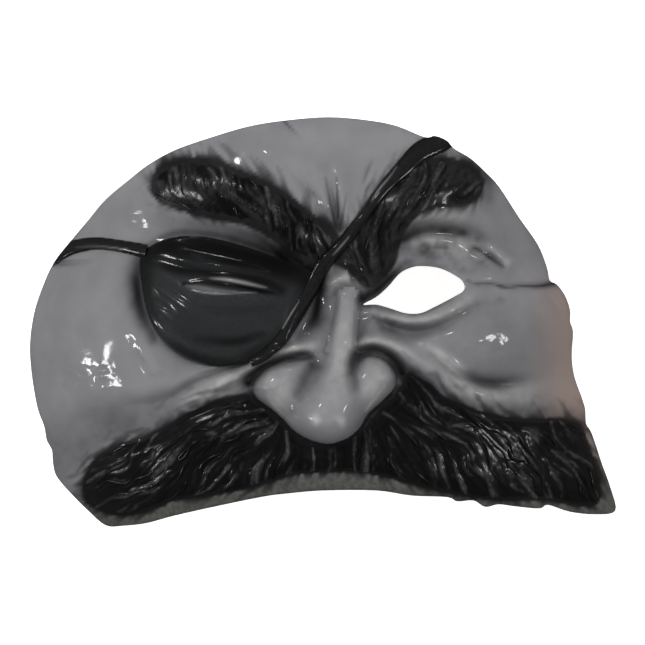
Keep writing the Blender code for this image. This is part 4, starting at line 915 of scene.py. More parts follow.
def through(rows, at):
    """Natural cubic splines through a table's columns, read at values of its first one."""
    rows = np.array(sorted(rows), float)
    knots, values = rows[:, 0], rows[:, 1:]
    gaps = np.diff(knots)
    slopes = np.diff(values, axis=0) / gaps[:, None]
    count = len(knots)
    matrix = np.eye(count)
    target = np.zeros_like(values)
    for i in range(1, count - 1):
        matrix[i, i - 1:i + 2] = gaps[i - 1], 2 * (gaps[i - 1] + gaps[i]), gaps[i]
        target[i] = 6 * (slopes[i] - slopes[i - 1])
    bends = np.linalg.solve(matrix, target)
    at = np.clip(at, knots[0], knots[-1])
    i = np.clip(np.searchsorted(knots, at) - 1, 0, count - 2)
    gap = gaps[i][..., None]
    before = (knots[i + 1] - at)[..., None] / gap
    after = 1 - before
    line = before * values[i] + after * values[i + 1]
    curve = (before ** 3 - before) * bends[i] + (after ** 3 - after) * bends[i + 1]
    return np.moveaxis(line + curve * gap ** 2 / 6, -1, 0)


def nearest_on(line, x, y):
    """Distance from places to a line, and the line's other columns at the nearest point."""
    start = line[:-1]
    step = np.diff(line, axis=0)
    length = np.maximum((step[:, :2] ** 2).sum(-1), 1e-18)
    distances = np.empty(len(x))
    columns = np.empty((len(x), line.shape[1] - 2))
    for first in range(0, len(x), BATCH):
        part = slice(first, first + BATCH)
        places = np.stack([x[part], y[part]], -1)[:, None, :]
        share = np.clip(((places - start[:, :2]) * step[:, :2]).sum(-1) / length, 0, 1)
        offset = places - start[:, :2] - share[..., None] * step[:, :2]
        distance = (offset ** 2).sum(-1)
        nearest = distance.argmin(-1)
        share = np.take_along_axis(share, nearest[:, None], -1)
        distances[part] = np.sqrt(distance.min(-1))
        columns[part] = (start[nearest] + share * step[nearest])[:, 2:]
    return distances, columns


def depth_inside(outline, x, y):
    """Distance to a closed outline, positive inside it and negative outside."""
    closed = np.vstack([outline, outline[:1]])
    distance, _ = nearest_on(closed, x, y)
    inside = np.zeros(len(x), bool)
    for (ax, ay), (bx, by) in zip(closed, closed[1:]):
        if ay != by:
            crosses = (ay > y) != (by > y)
            inside ^= crosses & (x < (bx - ax) * (y - ay) / (by - ay) + ax)
    return np.where(inside, distance, -distance)


def ease(share):
    """A smooth step from 0 to 1."""
    share = np.clip(share, 0, 1)
    return share * share * (3 - 2 * share)


def ridge(rows, x, y, rise, breadth, power):
    """A rounded ridge along a path, its rows giving shares of a rise and a breadth."""
    line = rounded(rows)
    reach = breadth * line[:, 3].max() * REACHES
    low, high = line[:, :2].min(0) - reach, line[:, :2].max(0) + reach
    near = (x > low[0]) & (x < high[0]) & (y > low[1]) & (y < high[1])
    height = np.zeros(len(x))
    if near.any():
        distance, column = nearest_on(line, x[near], y[near])
        height[near] = rise * column[:, 0] * np.exp(-(distance / (breadth * column[:, 1])) ** power)
    return height


def raised(height, table, x, y, rise, breadth, power):
    """Heights with all the ridges of a table added."""
    for rows in table.values():
        height = height + ridge(rows, x, y, rise, breadth, power)
    return height


def strongest(strength, table, x, y, breadth, power):
    """Strengths of paint or wear with all the paths of a table laid over them."""
    for rows in table.values():
        strength = np.maximum(strength, ridge(rows, x, y, 1, breadth, power))
    return strength


def head_height(x, y):
    """The vault of the head, a full arch from side to side at each height."""
    crown, left, right = through(HEAD_SECTIONS, y / HALF_HEIGHT)
    across = x / HALF_WIDTH - RIDGE_ACROSS
    half = np.where(across < 0, RIDGE_ACROSS - left, right - RIDGE_ACROSS)
    return VAULT_DEPTH * crown * (1 - np.abs(across / half) ** FULLNESS)


def swelling(row, x, y):
    """A broad oval form of bone or flesh."""
    across, up, rise, along, girth, turn, power = row
    dx = x - across * HALF_WIDTH
    dy = y - up * HALF_HEIGHT
    angle = np.radians(turn)
    lengthways = (dx * np.cos(angle) + dy * np.sin(angle)) / (along * SWELL_REACH)
    sideways = (dy * np.cos(angle) - dx * np.sin(angle)) / (girth * SWELL_REACH)
    return rise * SWELL_RISE * np.exp(-np.hypot(lengthways, sideways) ** power)


def nose_height(x, y):
    """The nose above the cheeks: a puffed-up outline with a crest, and its flanks."""
    flank = ridge(NOSE_FLANK, x, y, NOSE_RISE, NOSE_BREADTH, FOLD_POWER)
    middle, crest, wing, half, edge = through(NOSE_SECTIONS, y / HALF_HEIGHT)
    off = np.abs(x - middle * HALF_WIDTH) / (half * NOSE_BREADTH)
    body = NOSE_RISE * (wing + (crest - wing) * np.exp(-off ** CREST_POWER))
    inward = np.clip(depth_inside(rounded(NOSE_EDGE, True), x, y) / (edge * NOSE_BREADTH), 0, 1)
    puff = np.sqrt(1 - (1 - inward) ** PUFF_POWER)
    rise = np.clip(body - flank, 0, None) * puff
    for hollow in NOSE_HOLLOWS:
        rise = rise - ridge(hollow, x, y, NOSE_RISE, NOSE_BREADTH, HOLLOW_POWER)
    return flank + np.clip(rise, 0, None)


def skin_height(x, y):
    """The moulded face with all its forms."""
    height = head_height(x, y) + nose_height(x, y)
    for row in SWELLINGS.values():
        height = height + swelling(row, x, y)
    height = raised(height, FOLDS, x, y, FOLD_RISE, FOLD_BREADTH, FOLD_POWER)
    return raised(height, CREASES, x, y, -FOLD_RISE, FOLD_BREADTH, CREASE_POWER)


def unevenness(x, y, size, seed):
    """Smooth random swells between -1 and 1, about one size across."""
    lattice = np.random.default_rng(seed).uniform(-1, 1, (LATTICE, LATTICE))
    across, up = x / size + LATTICE / 2, y / size + LATTICE / 2
    column, row = np.floor(across).astype(int), np.floor(up).astype(int)
    east, north = ease(across - column), ease(up - row)
    corners = [lattice[(row + i) % LATTICE, (column + j) % LATTICE] for i in (0, 1) for j in (0, 1)]
    south_side = corners[0] + (corners[1] - corners[0]) * east
    north_side = corners[2] + (corners[3] - corners[2]) * east
    return south_side + (north_side - south_side) * north


def layered(x, y, size, seed, finer, share):
    """Random swells with a share of finer ones on them."""
    return unevenness(x, y, size, seed) + share * unevenness(x, y, size / finer, seed + 1)


def round_about(height, x, y, radius, places):
    """Heights at places in a ring round each one."""
    turns = np.radians(np.arange(places) * (360 / places))
    return [height(x + radius * np.cos(turn), y + radius * np.sin(turn)) for turn in turns]


def spread(patches, x, y):
    """How far each place lies in soft-edged patches, from 0 to 1."""
    share = np.zeros(len(x))
    for across, up, wide, tall in patches:
        away = np.hypot((x / HALF_WIDTH - across) / wide, (y / HALF_HEIGHT - up) / tall)
        share = np.maximum(share, np.exp(-away ** CLUSTER_POWER))
    return share


def lumpy(x, y):
    """Where the lacquer pooled and dried in lumps, in uneven clusters, from 0 to 1."""
    broken = unevenness(x, y, CLUSTER_SIZE, SEEDS["clusters"])
    return spread(LUMPS, x, y) * ease(CLUSTER_SHARE + CLUSTER_CONTRAST * broken)


def fine_height(x, y):
    """The skin with its fine lines and the runs of its lacquer."""
    height = raised(skin_height(x, y), LINES, x, y, LINE_RISE, LINE_BREADTH, LINE_POWER)
    height = raised(height, RUNS, x, y, RUN_RISE, RUN_BREADTH, RUN_POWER)
    height = height + HAND_RISE * unevenness(x, y, HAND_SIZE, SEEDS["hand"])
    lumps = LUMP_RISE * layered(x, y, LUMP_SIZE, SEEDS["lumps"], *FINER_LUMPS)
    return height + lumps * lumpy(x, y)


def hollow_height(x, y):
    """The inner surface, one wall below everything that is near on the outer one."""
    heights = [fine_height(x, y) - WALL]
    for radius, drop in [(WALL, 0.0), (INNER_SPACING * NEAR_SHARE, WALL * NEAR_SHARE)]:
        heights += [near - drop for near in round_about(fine_height, x, y, radius, RING_PLACES)]
    return np.maximum(np.min(heights, axis=0), BELOW / 2)


def grid_lines(length, spacing, middle):
    """Places along one side of the grid, closer together round the middle of the nose."""
    even = np.linspace(-1, 1, round(length * GRID_MARGIN / spacing) + 1)
    drawn = even * (GRID_FOCUS + (1 - GRID_FOCUS) * even ** 2)
    return (drawn + middle * (1 - drawn ** 2)) * length / 2 * GRID_MARGIN


def on_grid(height, x, y):
    """Heights at a grid of places."""
    return height(x.ravel(), y.ravel()).reshape(x.shape)


def settled_grid(spacing):
    """A grid of places over the face, drawn together where its surface is steep."""
    across = grid_lines(MASK_WIDTH, spacing, NOSE_MIDDLE[0])
    up = grid_lines(MASK_HEIGHT, spacing, NOSE_MIDDLE[1])
    x, y = np.meshgrid(across, up)
    for _ in range(SETTLING_STEPS):
        z = np.maximum(on_grid(skin_height, x, y), RIM_LIP)
        pulls = []
        for axis in (0, 1):
            flat = np.hypot(np.diff(x, axis=axis), np.diff(y, axis=axis))
            stretch = np.hypot(flat, np.diff(z, axis=axis)) / flat
            pulls.append(np.minimum(stretch, SETTLING_PULL))
        south, north = pulls[0][:-1, 1:-1], pulls[0][1:, 1:-1]
        west, east = pulls[1][1:-1, :-1], pulls[1][1:-1, 1:]
        total = south + north + west + east
        for place in (x, y):
            moved = south * place[:-2, 1:-1] + north * place[2:, 1:-1]
            moved = moved + west * place[1:-1, :-2] + east * place[1:-1, 2:]
            place[1:-1, 1:-1] = (place[1:-1, 1:-1] + moved / total) / 2
    return x, y


def refined(places, times):
    """A grid with each of its cells divided."""
    rows, columns = places.shape
    up = np.linspace(0, rows - 1, (rows - 1) * times + 1)
    across = np.linspace(0, columns - 1, (columns - 1) * times + 1)
    wide = np.array([np.interp(across, np.arange(columns), row) for row in places])
    return np.array([np.interp(up, np.arange(rows), column) for column in wide.T]).T


def plate(name, x, y, top, bottom):
    """A closed mesh between two surfaces over the same grid of places."""
    rows, columns = x.shape
    count = rows * columns
    places = np.vstack([np.stack([x, y, z], -1).reshape(-1, 3) for z in (top, bottom)])
    index = np.arange(count).reshape(rows, columns)
    corners = [index[:-1, :-1], index[:-1, 1:], index[1:, 1:], index[1:, :-1]]
    cells = np.stack(corners, -1).reshape(-1, 4)
    border = np.concatenate([index[0, :-1], index[:-1, -1], index[-1, :0:-1], index[:0:-1, 0]])
    after = np.roll(border, -1)
    sides = np.stack([border, border + count, after + count, after], -1)
    faces = np.vstack([cells, cells[:, ::-1] + count, sides])
    data = bpy.data.meshes.new(name)
    data.from_pydata(places.tolist(), [], faces.tolist())
    return data


def thing(name, data):
    """An object with the given mesh, in the scene."""
    item = bpy.data.objects.new(name, data)
    bpy.context.scene.collection.objects.link(item)
    return item


def prism(name, outline):
    """An upright cutter with the given closed outline."""
    count = len(outline)
    places = [(px, py, z) for z in (BELOW, ABOVE) for px, py in outline]
    index = np.arange(count)
    after = np.roll(index, -1)
    sides = np.stack([index, after, after + count, index + count], -1).tolist()
    data = bpy.data.meshes.new(name)
    data.from_pydata(places, [], sides + [index[::-1].tolist(), (index + count).tolist()])
    mesh = bmesh.new()
    mesh.from_mesh(data)
    bmesh.ops.recalc_face_normals(mesh, faces=mesh.faces)
    mesh.to_mesh(data)
    mesh.free()
    return thing(name, data)


def cut(item, tools):
    """Cuts or trims an object with cutters and keeps the result as its mesh. All of them are
    closed, as the manifold solver asks, and it is quick on grids as fine as these."""
    for tool, operation in tools:
        modifier = item.modifiers.new(tool.name, "BOOLEAN")
        modifier.solver = "MANIFOLD"
        modifier.operation = operation
        modifier.object = tool
    bpy.context.view_layer.update()
    evaluated = item.evaluated_get(bpy.context.evaluated_depsgraph_get())
    data = bpy.data.meshes.new_from_object(evaluated)
    item.modifiers.clear()
    data.materials.clear()
    item.data = data
    return item


def places_of(item):
    """All the vertices of an object, as rows of x, y and z."""
    places = np.empty(len(item.data.vertices) * 3)
    item.data.vertices.foreach_get("co", places)
    return places.reshape(-1, 3)


def painted(item, name, values):
    """Keeps one number for each vertex, for the materials to read."""
    attribute = item.data.attributes.new(name, "FLOAT", "POINT")
    attribute.data.foreach_set("value", np.asarray(values, np.float32))


def smooth(item, angle):
    """Smooth shading, with edges above an angle kept sharp."""
    item.data.shade_smooth()
    item.data.set_sharp_from_angle(angle=np.radians(angle))


def window(x, y, outline, margin):
    """The part of a grid that covers an outline."""
    low, high = outline.min(0) - margin, outline.max(0) + margin
    near = (x > low[0]) & (x < high[0]) & (y > low[1]) & (y < high[1])
    rows, columns = np.flatnonzero(near.any(1)), np.flatnonzero(near.any(0))
    return np.s_[rows[0]:rows[-1] + 1, columns[0]:columns[-1] + 1]


def rounded_off(depth, radius):
    """How much a rounded edge falls away at a depth inside it."""
    off = np.clip(1 - depth / radius, 0, 1)
    return radius * (1 - np.sqrt(1 - off ** 2))


def strap_outline(rows):
    """The closed outline of a strap, from its middle line and half breadths."""
    line = rounded(rows)
    along = np.gradient(line[:, :2], axis=0)
    along = along / np.linalg.norm(along, axis=1)[:, None]
    side = np.stack([-along[:, 1], along[:, 0]], -1)
    half = line[:, 2:] * STRAP_BREADTH
    return np.vstack([line[:, :2] + side * half, (line[:, :2] - side * half)[::-1]])


def combed(comb, x, y):
    """Which way the hair runs at each place, as steps across and up."""
    rows = placed(comb)
    away = (x[:, None] - rows[:, 0]) ** 2 + (y[:, None] - rows[:, 1]) ** 2 + COMB_BLEND
    weight = away ** COMB_POWER
    angle = np.radians(rows[:, 2])
    drift = np.arctan2(weight @ np.sin(angle), weight @ np.cos(angle))
    drift = drift + COMB_WAVE * unevenness(x, y, WAVE_SIZE, SEEDS["sway"])
    return np.cos(drift), np.sin(drift)


def strands(comb, x, y, breadth, length, seed):
    """Grain drawn out along the comb, which gives strands; about -1 to 1."""
    total = unevenness(x, y, breadth, seed)
    for way in (-1, 1):
        px, py = x.copy(), y.copy()
        for _ in range(COMB_STEPS):
            across, up = combed(comb, px, py)
            px += way * across * length / 2 / COMB_STEPS
            py += way * up * length / 2 / COMB_STEPS
            total = total + unevenness(px, py, breadth, seed)
    return total / total.std() / 2


def crests(name, x, y):
    """Raised strands of a piece of hair with hollows between them, from 0 to 1."""
    breadth, length = HAIR[name][1:3]
    drawn = strands(COMBS[name], x, y, breadth, length, HAIR_SEEDS[name])
    return ease((drawn - STRAND_START) / STRAND_SPAN)


def greyed(name, x, y):
    """Where the hair's black turns grey: its crests, broken up by finer strands."""
    between, broken = HAIR[name][3:]
    fine = strands(COMBS[name], x, y, GREY_BREADTH, FINE_LENGTH, HAIR_SEEDS[name] + GREY_SEED)
    grey = between + (1 - between) * crests(name, x, y)
    return np.clip(grey * (1 - broken * ease(0.5 - STRAND_CONTRAST * fine)), 0, 1)


def linear(code):
    """An sRGB hex colour as linear red, green, blue and alpha."""
    parts = [int(code[i:i + 2], 16) / 255 for i in (1, 3, 5)]
    return [p / 12.92 if p <= 0.04045 else ((p + 0.055) / 1.055) ** 2.4 for p in parts] + [1]


def add(tree, kind, sockets=(), **settings):
    """Adds a node with its settings, gives its sockets a value or a link, and hands back
    its outputs."""
    made = tree.nodes.new(kind)
    for name, value in settings.items():
        setattr(made, name, value)
    for name, value in dict(sockets).items():
        if isinstance(value, bpy.types.NodeSocket):
            tree.links.new(value, made.inputs[name])
        else:
            made.inputs[name].default_value = value
    return made.outputs


def material(name):
    """An empty material, with its nodes and the place on the object, in metres."""
    made = bpy.data.materials.new(name)
    made.use_nodes = True
    made.node_tree.nodes.clear()
    return made, made.node_tree, add(made.node_tree, "ShaderNodeTexCoord")["Object"]


def skin_lacquer():
    """Moulded papier mache in grey paint with dark spray and painted shade, and with painted
    highlights,
    under a thick clear gloss: the grey mottles a little, and the gloss ripples, so that its glints
    break up."""
    made, tree, place = material("grey_gloss_with_painted_light")
    noise = {}
    for name, size, detail in [
        ("mottle", MOTTLE_SIZE, 4.0), ("blotch", BLOTCH_SIZE, 5.0), ("speck", SPECK_SIZE, 3.0),
        ("ripple", RIPPLE_SIZE, 2.0), ("bead", BEAD_SIZE, 1.0),
    ]:
        sockets = {"Vector": place, "Scale": 1 / size, "Detail": detail}
        noise[name] = add(tree, "ShaderNodeTexNoise", sockets)[0]
    marks = {}
    for name in ("warm", "pale", "lip", "spray_and_shade", "lumpy"):
        marks[name] = add(tree, "ShaderNodeAttribute", attribute_name=name)["Fac"]
    # The pale mix lays painted highlights on the grey, and the last mix dark airbrush with painted
    # shade
    paler = add(tree, "ShaderNodeMath", {0: noise["blotch"], 1: marks["pale"]}, operation="MULTIPLY")
    lips = add(tree, "ShaderNodeMix", {
        0: noise["speck"], 6: linear("#2c2c2a"), 7: linear("#656561"),
    }, data_type="RGBA")[2]
    colour = linear("#6a6a6d")
    for amount, over in [
        (noise["mottle"], linear("#8a8a8d")), (marks["warm"], linear("#908079")),
        (paler[0], linear("#b9b6b2")), (marks["lip"], lips), (marks["spray_and_shade"], linear("#0c0c0d")),
    ]:
        colour = add(tree, "ShaderNodeMix", {0: amount, 6: colour, 7: over}, data_type="RGBA")[2]
    beads = add(tree, "ShaderNodeMath", {0: marks["lumpy"], 1: 2.0}, operation="MULTIPLY")
    waves = add(tree, "ShaderNodeMath", {
        0: noise["bead"], 1: beads[0], 2: noise["ripple"],
    }, operation="MULTIPLY_ADD")
    bump = add(tree, "ShaderNodeBump", {
        "Height": waves[0], "Distance": RIPPLE_RISE, "Strength": 1.0,
    })
    shader = add(tree, "ShaderNodeBsdfPrincipled", {
        "Base Color": colour, "Roughness": 0.45, "IOR": 1.5, "Specular IOR Level": 0.15,
        "Coat Weight": 1.0, "Coat Roughness": 0.09, "Coat IOR": 1.5, "Coat Normal": bump[0],
    })
    add(tree, "ShaderNodeOutputMaterial", {"Surface": shader[0]})
    return made


def hollow_paper():
    """The bare inside of the moulding: dull grey paper pulp, slightly fibrous."""
    made, tree, place = material("bare_paper_pulp")
    fibre = add(tree, "ShaderNodeTexNoise", {
        "Vector": place, "Scale": 1 / FIBRE_SIZE, "Detail": 5.0,
    })
    colour = add(tree, "ShaderNodeMix", {
        0: fibre[0], 6: linear("#6a6763"), 7: linear("#8a8680"),
    }, data_type="RGBA")[2]
    bump = add(tree, "ShaderNodeBump", {
        "Height": fibre[0], "Distance": FIBRE_RISE, "Strength": 0.6,
    })
    shader = add(tree, "ShaderNodeBsdfPrincipled", {
        "Base Color": colour, "Roughness": 0.85, "IOR": 1.45, "Normal": bump[0],
    })
    add(tree, "ShaderNodeOutputMaterial", {"Surface": shader[0]})
    return made


def black_lacquer(name, dark, crest_colour, roughness, gloss):
    """Moulded relief in black gloss enamel, greyer on its crests, with painted highlight streaks
    and painted shade that is deepest black in its folds."""
    made, tree, place = material(name)
    grain = add(tree, "ShaderNodeTexNoise", {
        "Vector": place, "Scale": 1 / GRAIN_SIZE, "Detail": 3.0,
    })
    marks = {}
    for mark in ("proud", "highlight_streaks", "painted_shade"):
        marks[mark] = add(tree, "ShaderNodeAttribute", attribute_name=mark)["Fac"]
    crest_grey_share = add(tree, "ShaderNodeMath", {0: grain[0], 1: marks["proud"]}, operation="MULTIPLY")
    colour = linear(dark)
    # The light grey mix is painted highlight streaks, the near black one painted shade
    for amount, over in [(crest_grey_share[0], crest_colour), (marks["highlight_streaks"], "#8b8b8c"), (marks["painted_shade"], "#050506")]:
        colour = add(tree, "ShaderNodeMix", {
            0: amount, 6: colour, 7: linear(over),
        }, data_type="RGBA")[2]
    bump = add(tree, "ShaderNodeBump", {
        "Height": grain[0], "Distance": GRAIN_RISE, "Strength": 1.0,
    })
    shader = add(tree, "ShaderNodeBsdfPrincipled", {
        "Base Color": colour, "Roughness": roughness, "IOR": 1.5, "Specular IOR Level": 0.15,
        "Coat Weight": 1.0, "Coat Roughness": gloss, "Coat IOR": 1.5, "Coat Normal": bump[0],
    })
    add(tree, "ShaderNodeOutputMaterial", {"Surface": shader[0]})
    return made


def dress(item, node, finish):
    """Puts a piece in a node's place, with its material."""
    if not item.data.materials:
        item.data.materials.append(finish)
    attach(item, "root")
    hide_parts(node)


def shift():
    """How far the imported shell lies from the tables' own middle."""
    low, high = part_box("mask_shell")
    outline = rounded(OUTLINE, True)
    centre = (outline.min(0) + outline.max(0)) / 2
    return (low.x + high.x) / 2 - centre[0], (low.y + high.y) / 2 - centre[1]


def moved(item, offset):
    """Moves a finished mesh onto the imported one."""
    places = places_of(item)
    places[:, 0] += offset[0]
    places[:, 1] += offset[1]
    item.data.vertices.foreach_set("co", places.ravel())
    item.data.update()


def build_shell(coarse, outline, rim):
    """The moulded face, cut to the rim, opened at one eye and hollowed."""
    x, y = (refined(places, SHELL_FINENESS) for places in coarse)
    eye = rounded(EYE_HOLE, True)

    def top(px, py):
        height = np.maximum(fine_height(px, py), RIM_LIP)
        edge = rounded_off(depth_inside(outline, px, py), RIM_ROUND)
        eye_edge = rounded_off(-depth_inside(eye, px, py), EYE_ROUND)
        return height - np.minimum(edge, height - RIM_LEAST) - eye_edge

    item = thing("lacquered_face", plate("lacquered_face", x, y, on_grid(top, x, y), np.zeros_like(x)))
    ix, iy = settled_grid(INNER_SPACING)
    hollow = plate("hollow", ix, iy, on_grid(hollow_height, ix, iy), np.full_like(ix, BELOW))
    inner = thing("hollow", hollow)
    opening = prism("eye_hole", eye)
    cut(item, [(rim, "INTERSECT"), (opening, "DIFFERENCE"), (inner, "DIFFERENCE")])
    for tool in (inner, opening):
        bpy.data.objects.remove(tool)
    return item


def sprayed_round(outline, comb, reach_above, reach_below, x, y):
    """Dark paint that fades away from a laid-on piece, partly painted shade at its edge, in faint
    strokes if it has a comb.
    """
    beyond = -depth_inside(outline, x, y)
    near = beyond < SPRAY_REACHES * max(reach_above, reach_below)
    spray_and_shade = np.zeros(len(x))
    x, y, beyond = x[near], y[near], beyond[near]
    above = (depth_inside(outline, x, y - PROBE) - depth_inside(outline, x, y + PROBE)) / PROBE / 2
    reach = reach_below + (reach_above - reach_below) * ease(0.5 + above)
    stroke = 1.0
    if comb:
        grain = strands(comb, x, y, STROKE_BREADTH, FINE_LENGTH, SEEDS["strokes"])
        stroke = np.clip(1 + STRAND_CONTRAST * grain, STROKE_LEAST, STROKE_MOST)
    spray_and_shade[near] = np.exp(-(np.clip(beyond, 0, None) / (reach * stroke)) ** SPRAY_POWER)
    return spray_and_shade


def shaded_nose(spray_and_shade, x, y):
    """Painted shade gathered round the lower nose, which stays clean itself."""
    edge = depth_inside(rounded(NOSE_EDGE, True), x, y)
    down = -y / HALF_HEIGHT
    beside = np.exp(-(np.clip(-edge, 0, None) / NOSE_SHADE) ** 2)
    spray_and_shade = np.maximum(spray_and_shade, beside * ease((down - NOSE_SHADE_START) / NOSE_SPAN))
    clean = ease(edge / NOSE_CLEAN_EDGE + NOSE_CLEAN_SHIFT)
    return spray_and_shade * (1 - clean * ease((down - NOSE_CLEAN_START) / NOSE_SPAN))


def sprayed_and_shaded(outlines, x, y):
    """How dark the airbrush and the painted shade are at each place, sunk places included, from 0 to
    1.
    """
    spray_and_shade = np.zeros(len(x))
    for name, outline in outlines.items():
        strength, above, below = AROUND[name]
        round_it = sprayed_round(outline, COMBS.get(name), above, below, x, y)
        spray_and_shade = np.maximum(spray_and_shade, strength * round_it)
    spray_and_shade = shaded_nose(spray_and_shade, x, y)
    spray_and_shade = strongest(spray_and_shade, SPRAYED_AND_SHADED, x, y, SPRAY_BREADTH, PAINT_POWER)
    # Painted shade: sunk places of the skin are darkened
    ring = round_about(skin_height, x, y, SUNK_REACH, SUNK_PLACES)
    sunk = np.clip((np.mean(ring, axis=0) - skin_height(x, y)) / SUNK_DEPTH, 0, 1)
    spray_and_shade = 1 - (1 - spray_and_shade) * (1 - SUNK_SHADE * sunk)
    mottle = layered(x, y, BLOTCH_SIZE, SEEDS["paint"], *FINER_MOTTLE)
    uneven = (SPRAY_MOTTLE + MOTTLED_MORE * spread(MOTTLED, x, y)) * mottle
    return np.clip(spray_and_shade + uneven * spray_and_shade * (1 - spray_and_shade), 0, 1)


def paint_shell(item, outlines):
    """Spray and painted shade, painted highlights, lip, warm side and lumps, as numbers on the face,
    and its bare inside.
    """
    x, y, _ = places_of(item).T
    painted(item, "spray_and_shade", sprayed_and_shaded(outlines, x, y))
    painted(item, "lip", ridge(LIP, x, y, 1, SPRAY_BREADTH, LIP_POWER))
    outward = ease((x / HALF_WIDTH - WARM_ACROSS[0]) / WARM_ACROSS[1])
    painted(item, "warm", outward * ease(1 - (y / HALF_HEIGHT - WARM_UP[0]) / WARM_UP[1]))
    painted(item, "lumpy", lumpy(x, y))
    # The pale mark holds painted highlights
    painted(item, "pale", strongest(np.zeros(len(x)), PAINTED_HIGHLIGHTS, x, y, SPRAY_BREADTH, PAINT_POWER))
    middles = np.array([polygon.center[:] for polygon in item.data.polygons])
    upright = np.array([polygon.normal.z for polygon in item.data.polygons])
    below = skin_height(middles[:, 0], middles[:, 1]) - middles[:, 2] > WALL * INSIDE_DEPTH
    inside = (below & (upright < INSIDE_LEAN)) | (upright < INSIDE_STEEP)
    item.data.polygons.foreach_set("material_index", inside.astype(np.int32))


def build_layer(name, coarse, outline, lift, tools):
    """A piece laid on the face: its own height over the skin, trimmed, with a sunk seat."""
    x, y = (refined(places, LAYER_FINENESS) for places in coarse)
    part = window(x, y, outline, LAYER_MARGIN)
    x, y = x[part], y[part]
    skin = on_grid(skin_height, x, y)
    top = skin + lift(x.ravel(), y.ravel()).reshape(x.shape)
    item = thing(name, plate(name, x, y, top, np.minimum(skin, top) - SEAT))
    trim = prism(name + "_outline", outline)
    cut(item, [(trim, "INTERSECT")] + tools)
    bpy.data.objects.remove(trim)
    return item


def patch_lift(outline):
    """The patch's leather, with a rolled edge and soft folds."""

    def lift(x, y):
        inward = depth_inside(outline, x, y)
        height = PATCH_EDGE + (PATCH_THICKNESS - PATCH_EDGE) * ease(inward / PATCH_HEM)
        height = raised(height, PATCH_FOLDS, x, y, PATCH_THICKNESS, FOLD_BREADTH, FOLD_POWER)
        wave = PATCH_WAVE_RISE * unevenness(x, y, PATCH_WAVE_SIZE, SEEDS["patch"])
        return np.maximum(height + wave, PATCH_EDGE * PATCH_LEAST) - rounded_off(inward, PATCH_ROUND)

    return lift


def strap_lift(rows):
    """A strap with a rounded back."""

    def lift(x, y):
        distance, half = nearest_on(rounded(rows), x, y)
        off = np.clip(distance / (half[:, 0] * STRAP_BREADTH), 0, 1)
        wave = STRAP_WAVE_RISE * unevenness(x, y, STRAP_WAVE_SIZE, SEEDS["strap"])
        back = STRAP_FLANK + (1 - STRAP_FLANK) * np.sqrt(1 - off ** 2)
        return STRAP_THICKNESS * back + wave

    return lift


def hair_lift(name, outline, thickness):
    """A mass of hair with combed strands, sinking into the skin at its outline."""

    def lift(x, y):
        full = ease(depth_inside(outline, x, y) / HAIR_EDGE)
        fine = strands(COMBS[name], x, y, FINE_BREADTH, FINE_LENGTH, HAIR_SEEDS[name] + FINE_SEED)
        relief = HAIR[name][0] * crests(name, x, y) + FINE_RISE * fine
        return thickness * full - HAIR_SINK + relief * (1 + full) / 2

    return lift


def along_paths(measure, paths):
    """A measure of places, at each point of each path."""
    return measure(paths[..., 0].ravel(), paths[..., 1].ravel()).reshape(paths.shape[:2])


def lock_paths(outline, comb, rim, plan, seed):
    """Middle lines of locks that grow inside an outline and follow the comb."""
    spacing, length, _, _ = plan
    rng = np.random.default_rng(seed)
    low, high = outline.min(0), outline.max(0)
    across, up = (np.arange(low[i], high[i], spacing) for i in (0, 1))
    x, y = np.meshgrid(across, up)
    x = x.ravel() + rng.uniform(-0.5, 0.5, x.size) * spacing
    y = y.ravel() + rng.uniform(-0.5, 0.5, y.size) * spacing
    keep = depth_inside(outline, x, y) > LOCK_INSET
    x, y = x[keep], y[keep]
    length = length * rng.uniform(*LOCK_LENGTHS, len(x))
    bend = rng.normal(0, LOCK_BEND, len(x))
    wave = rng.uniform(0, 2 * np.pi, len(x))
    line = [(x, y)]
    for step in range(LOCK_STEPS - 1):
        across, up = combed(comb, x, y)
        share = step / (LOCK_STEPS - 1)
        sway = LOCK_SWAY * np.sin(wave + share * LOCK_WAVE)
        turn = bend * (share - LOCK_BEND_MIDDLE) + sway
        ahead = across * np.cos(turn) - up * np.sin(turn)
        aside = across * np.sin(turn) + up * np.cos(turn)
        x = x + ahead * length / (LOCK_STEPS - 1)
        y = y + aside * length / (LOCK_STEPS - 1)
        line.append((x, y))
    paths = np.array(line).transpose(2, 0, 1)
    inside = along_paths(lambda px, py: depth_inside(rim, px, py), paths)
    return paths[(inside > LOCK_RIM_GAP).all(1)], rng


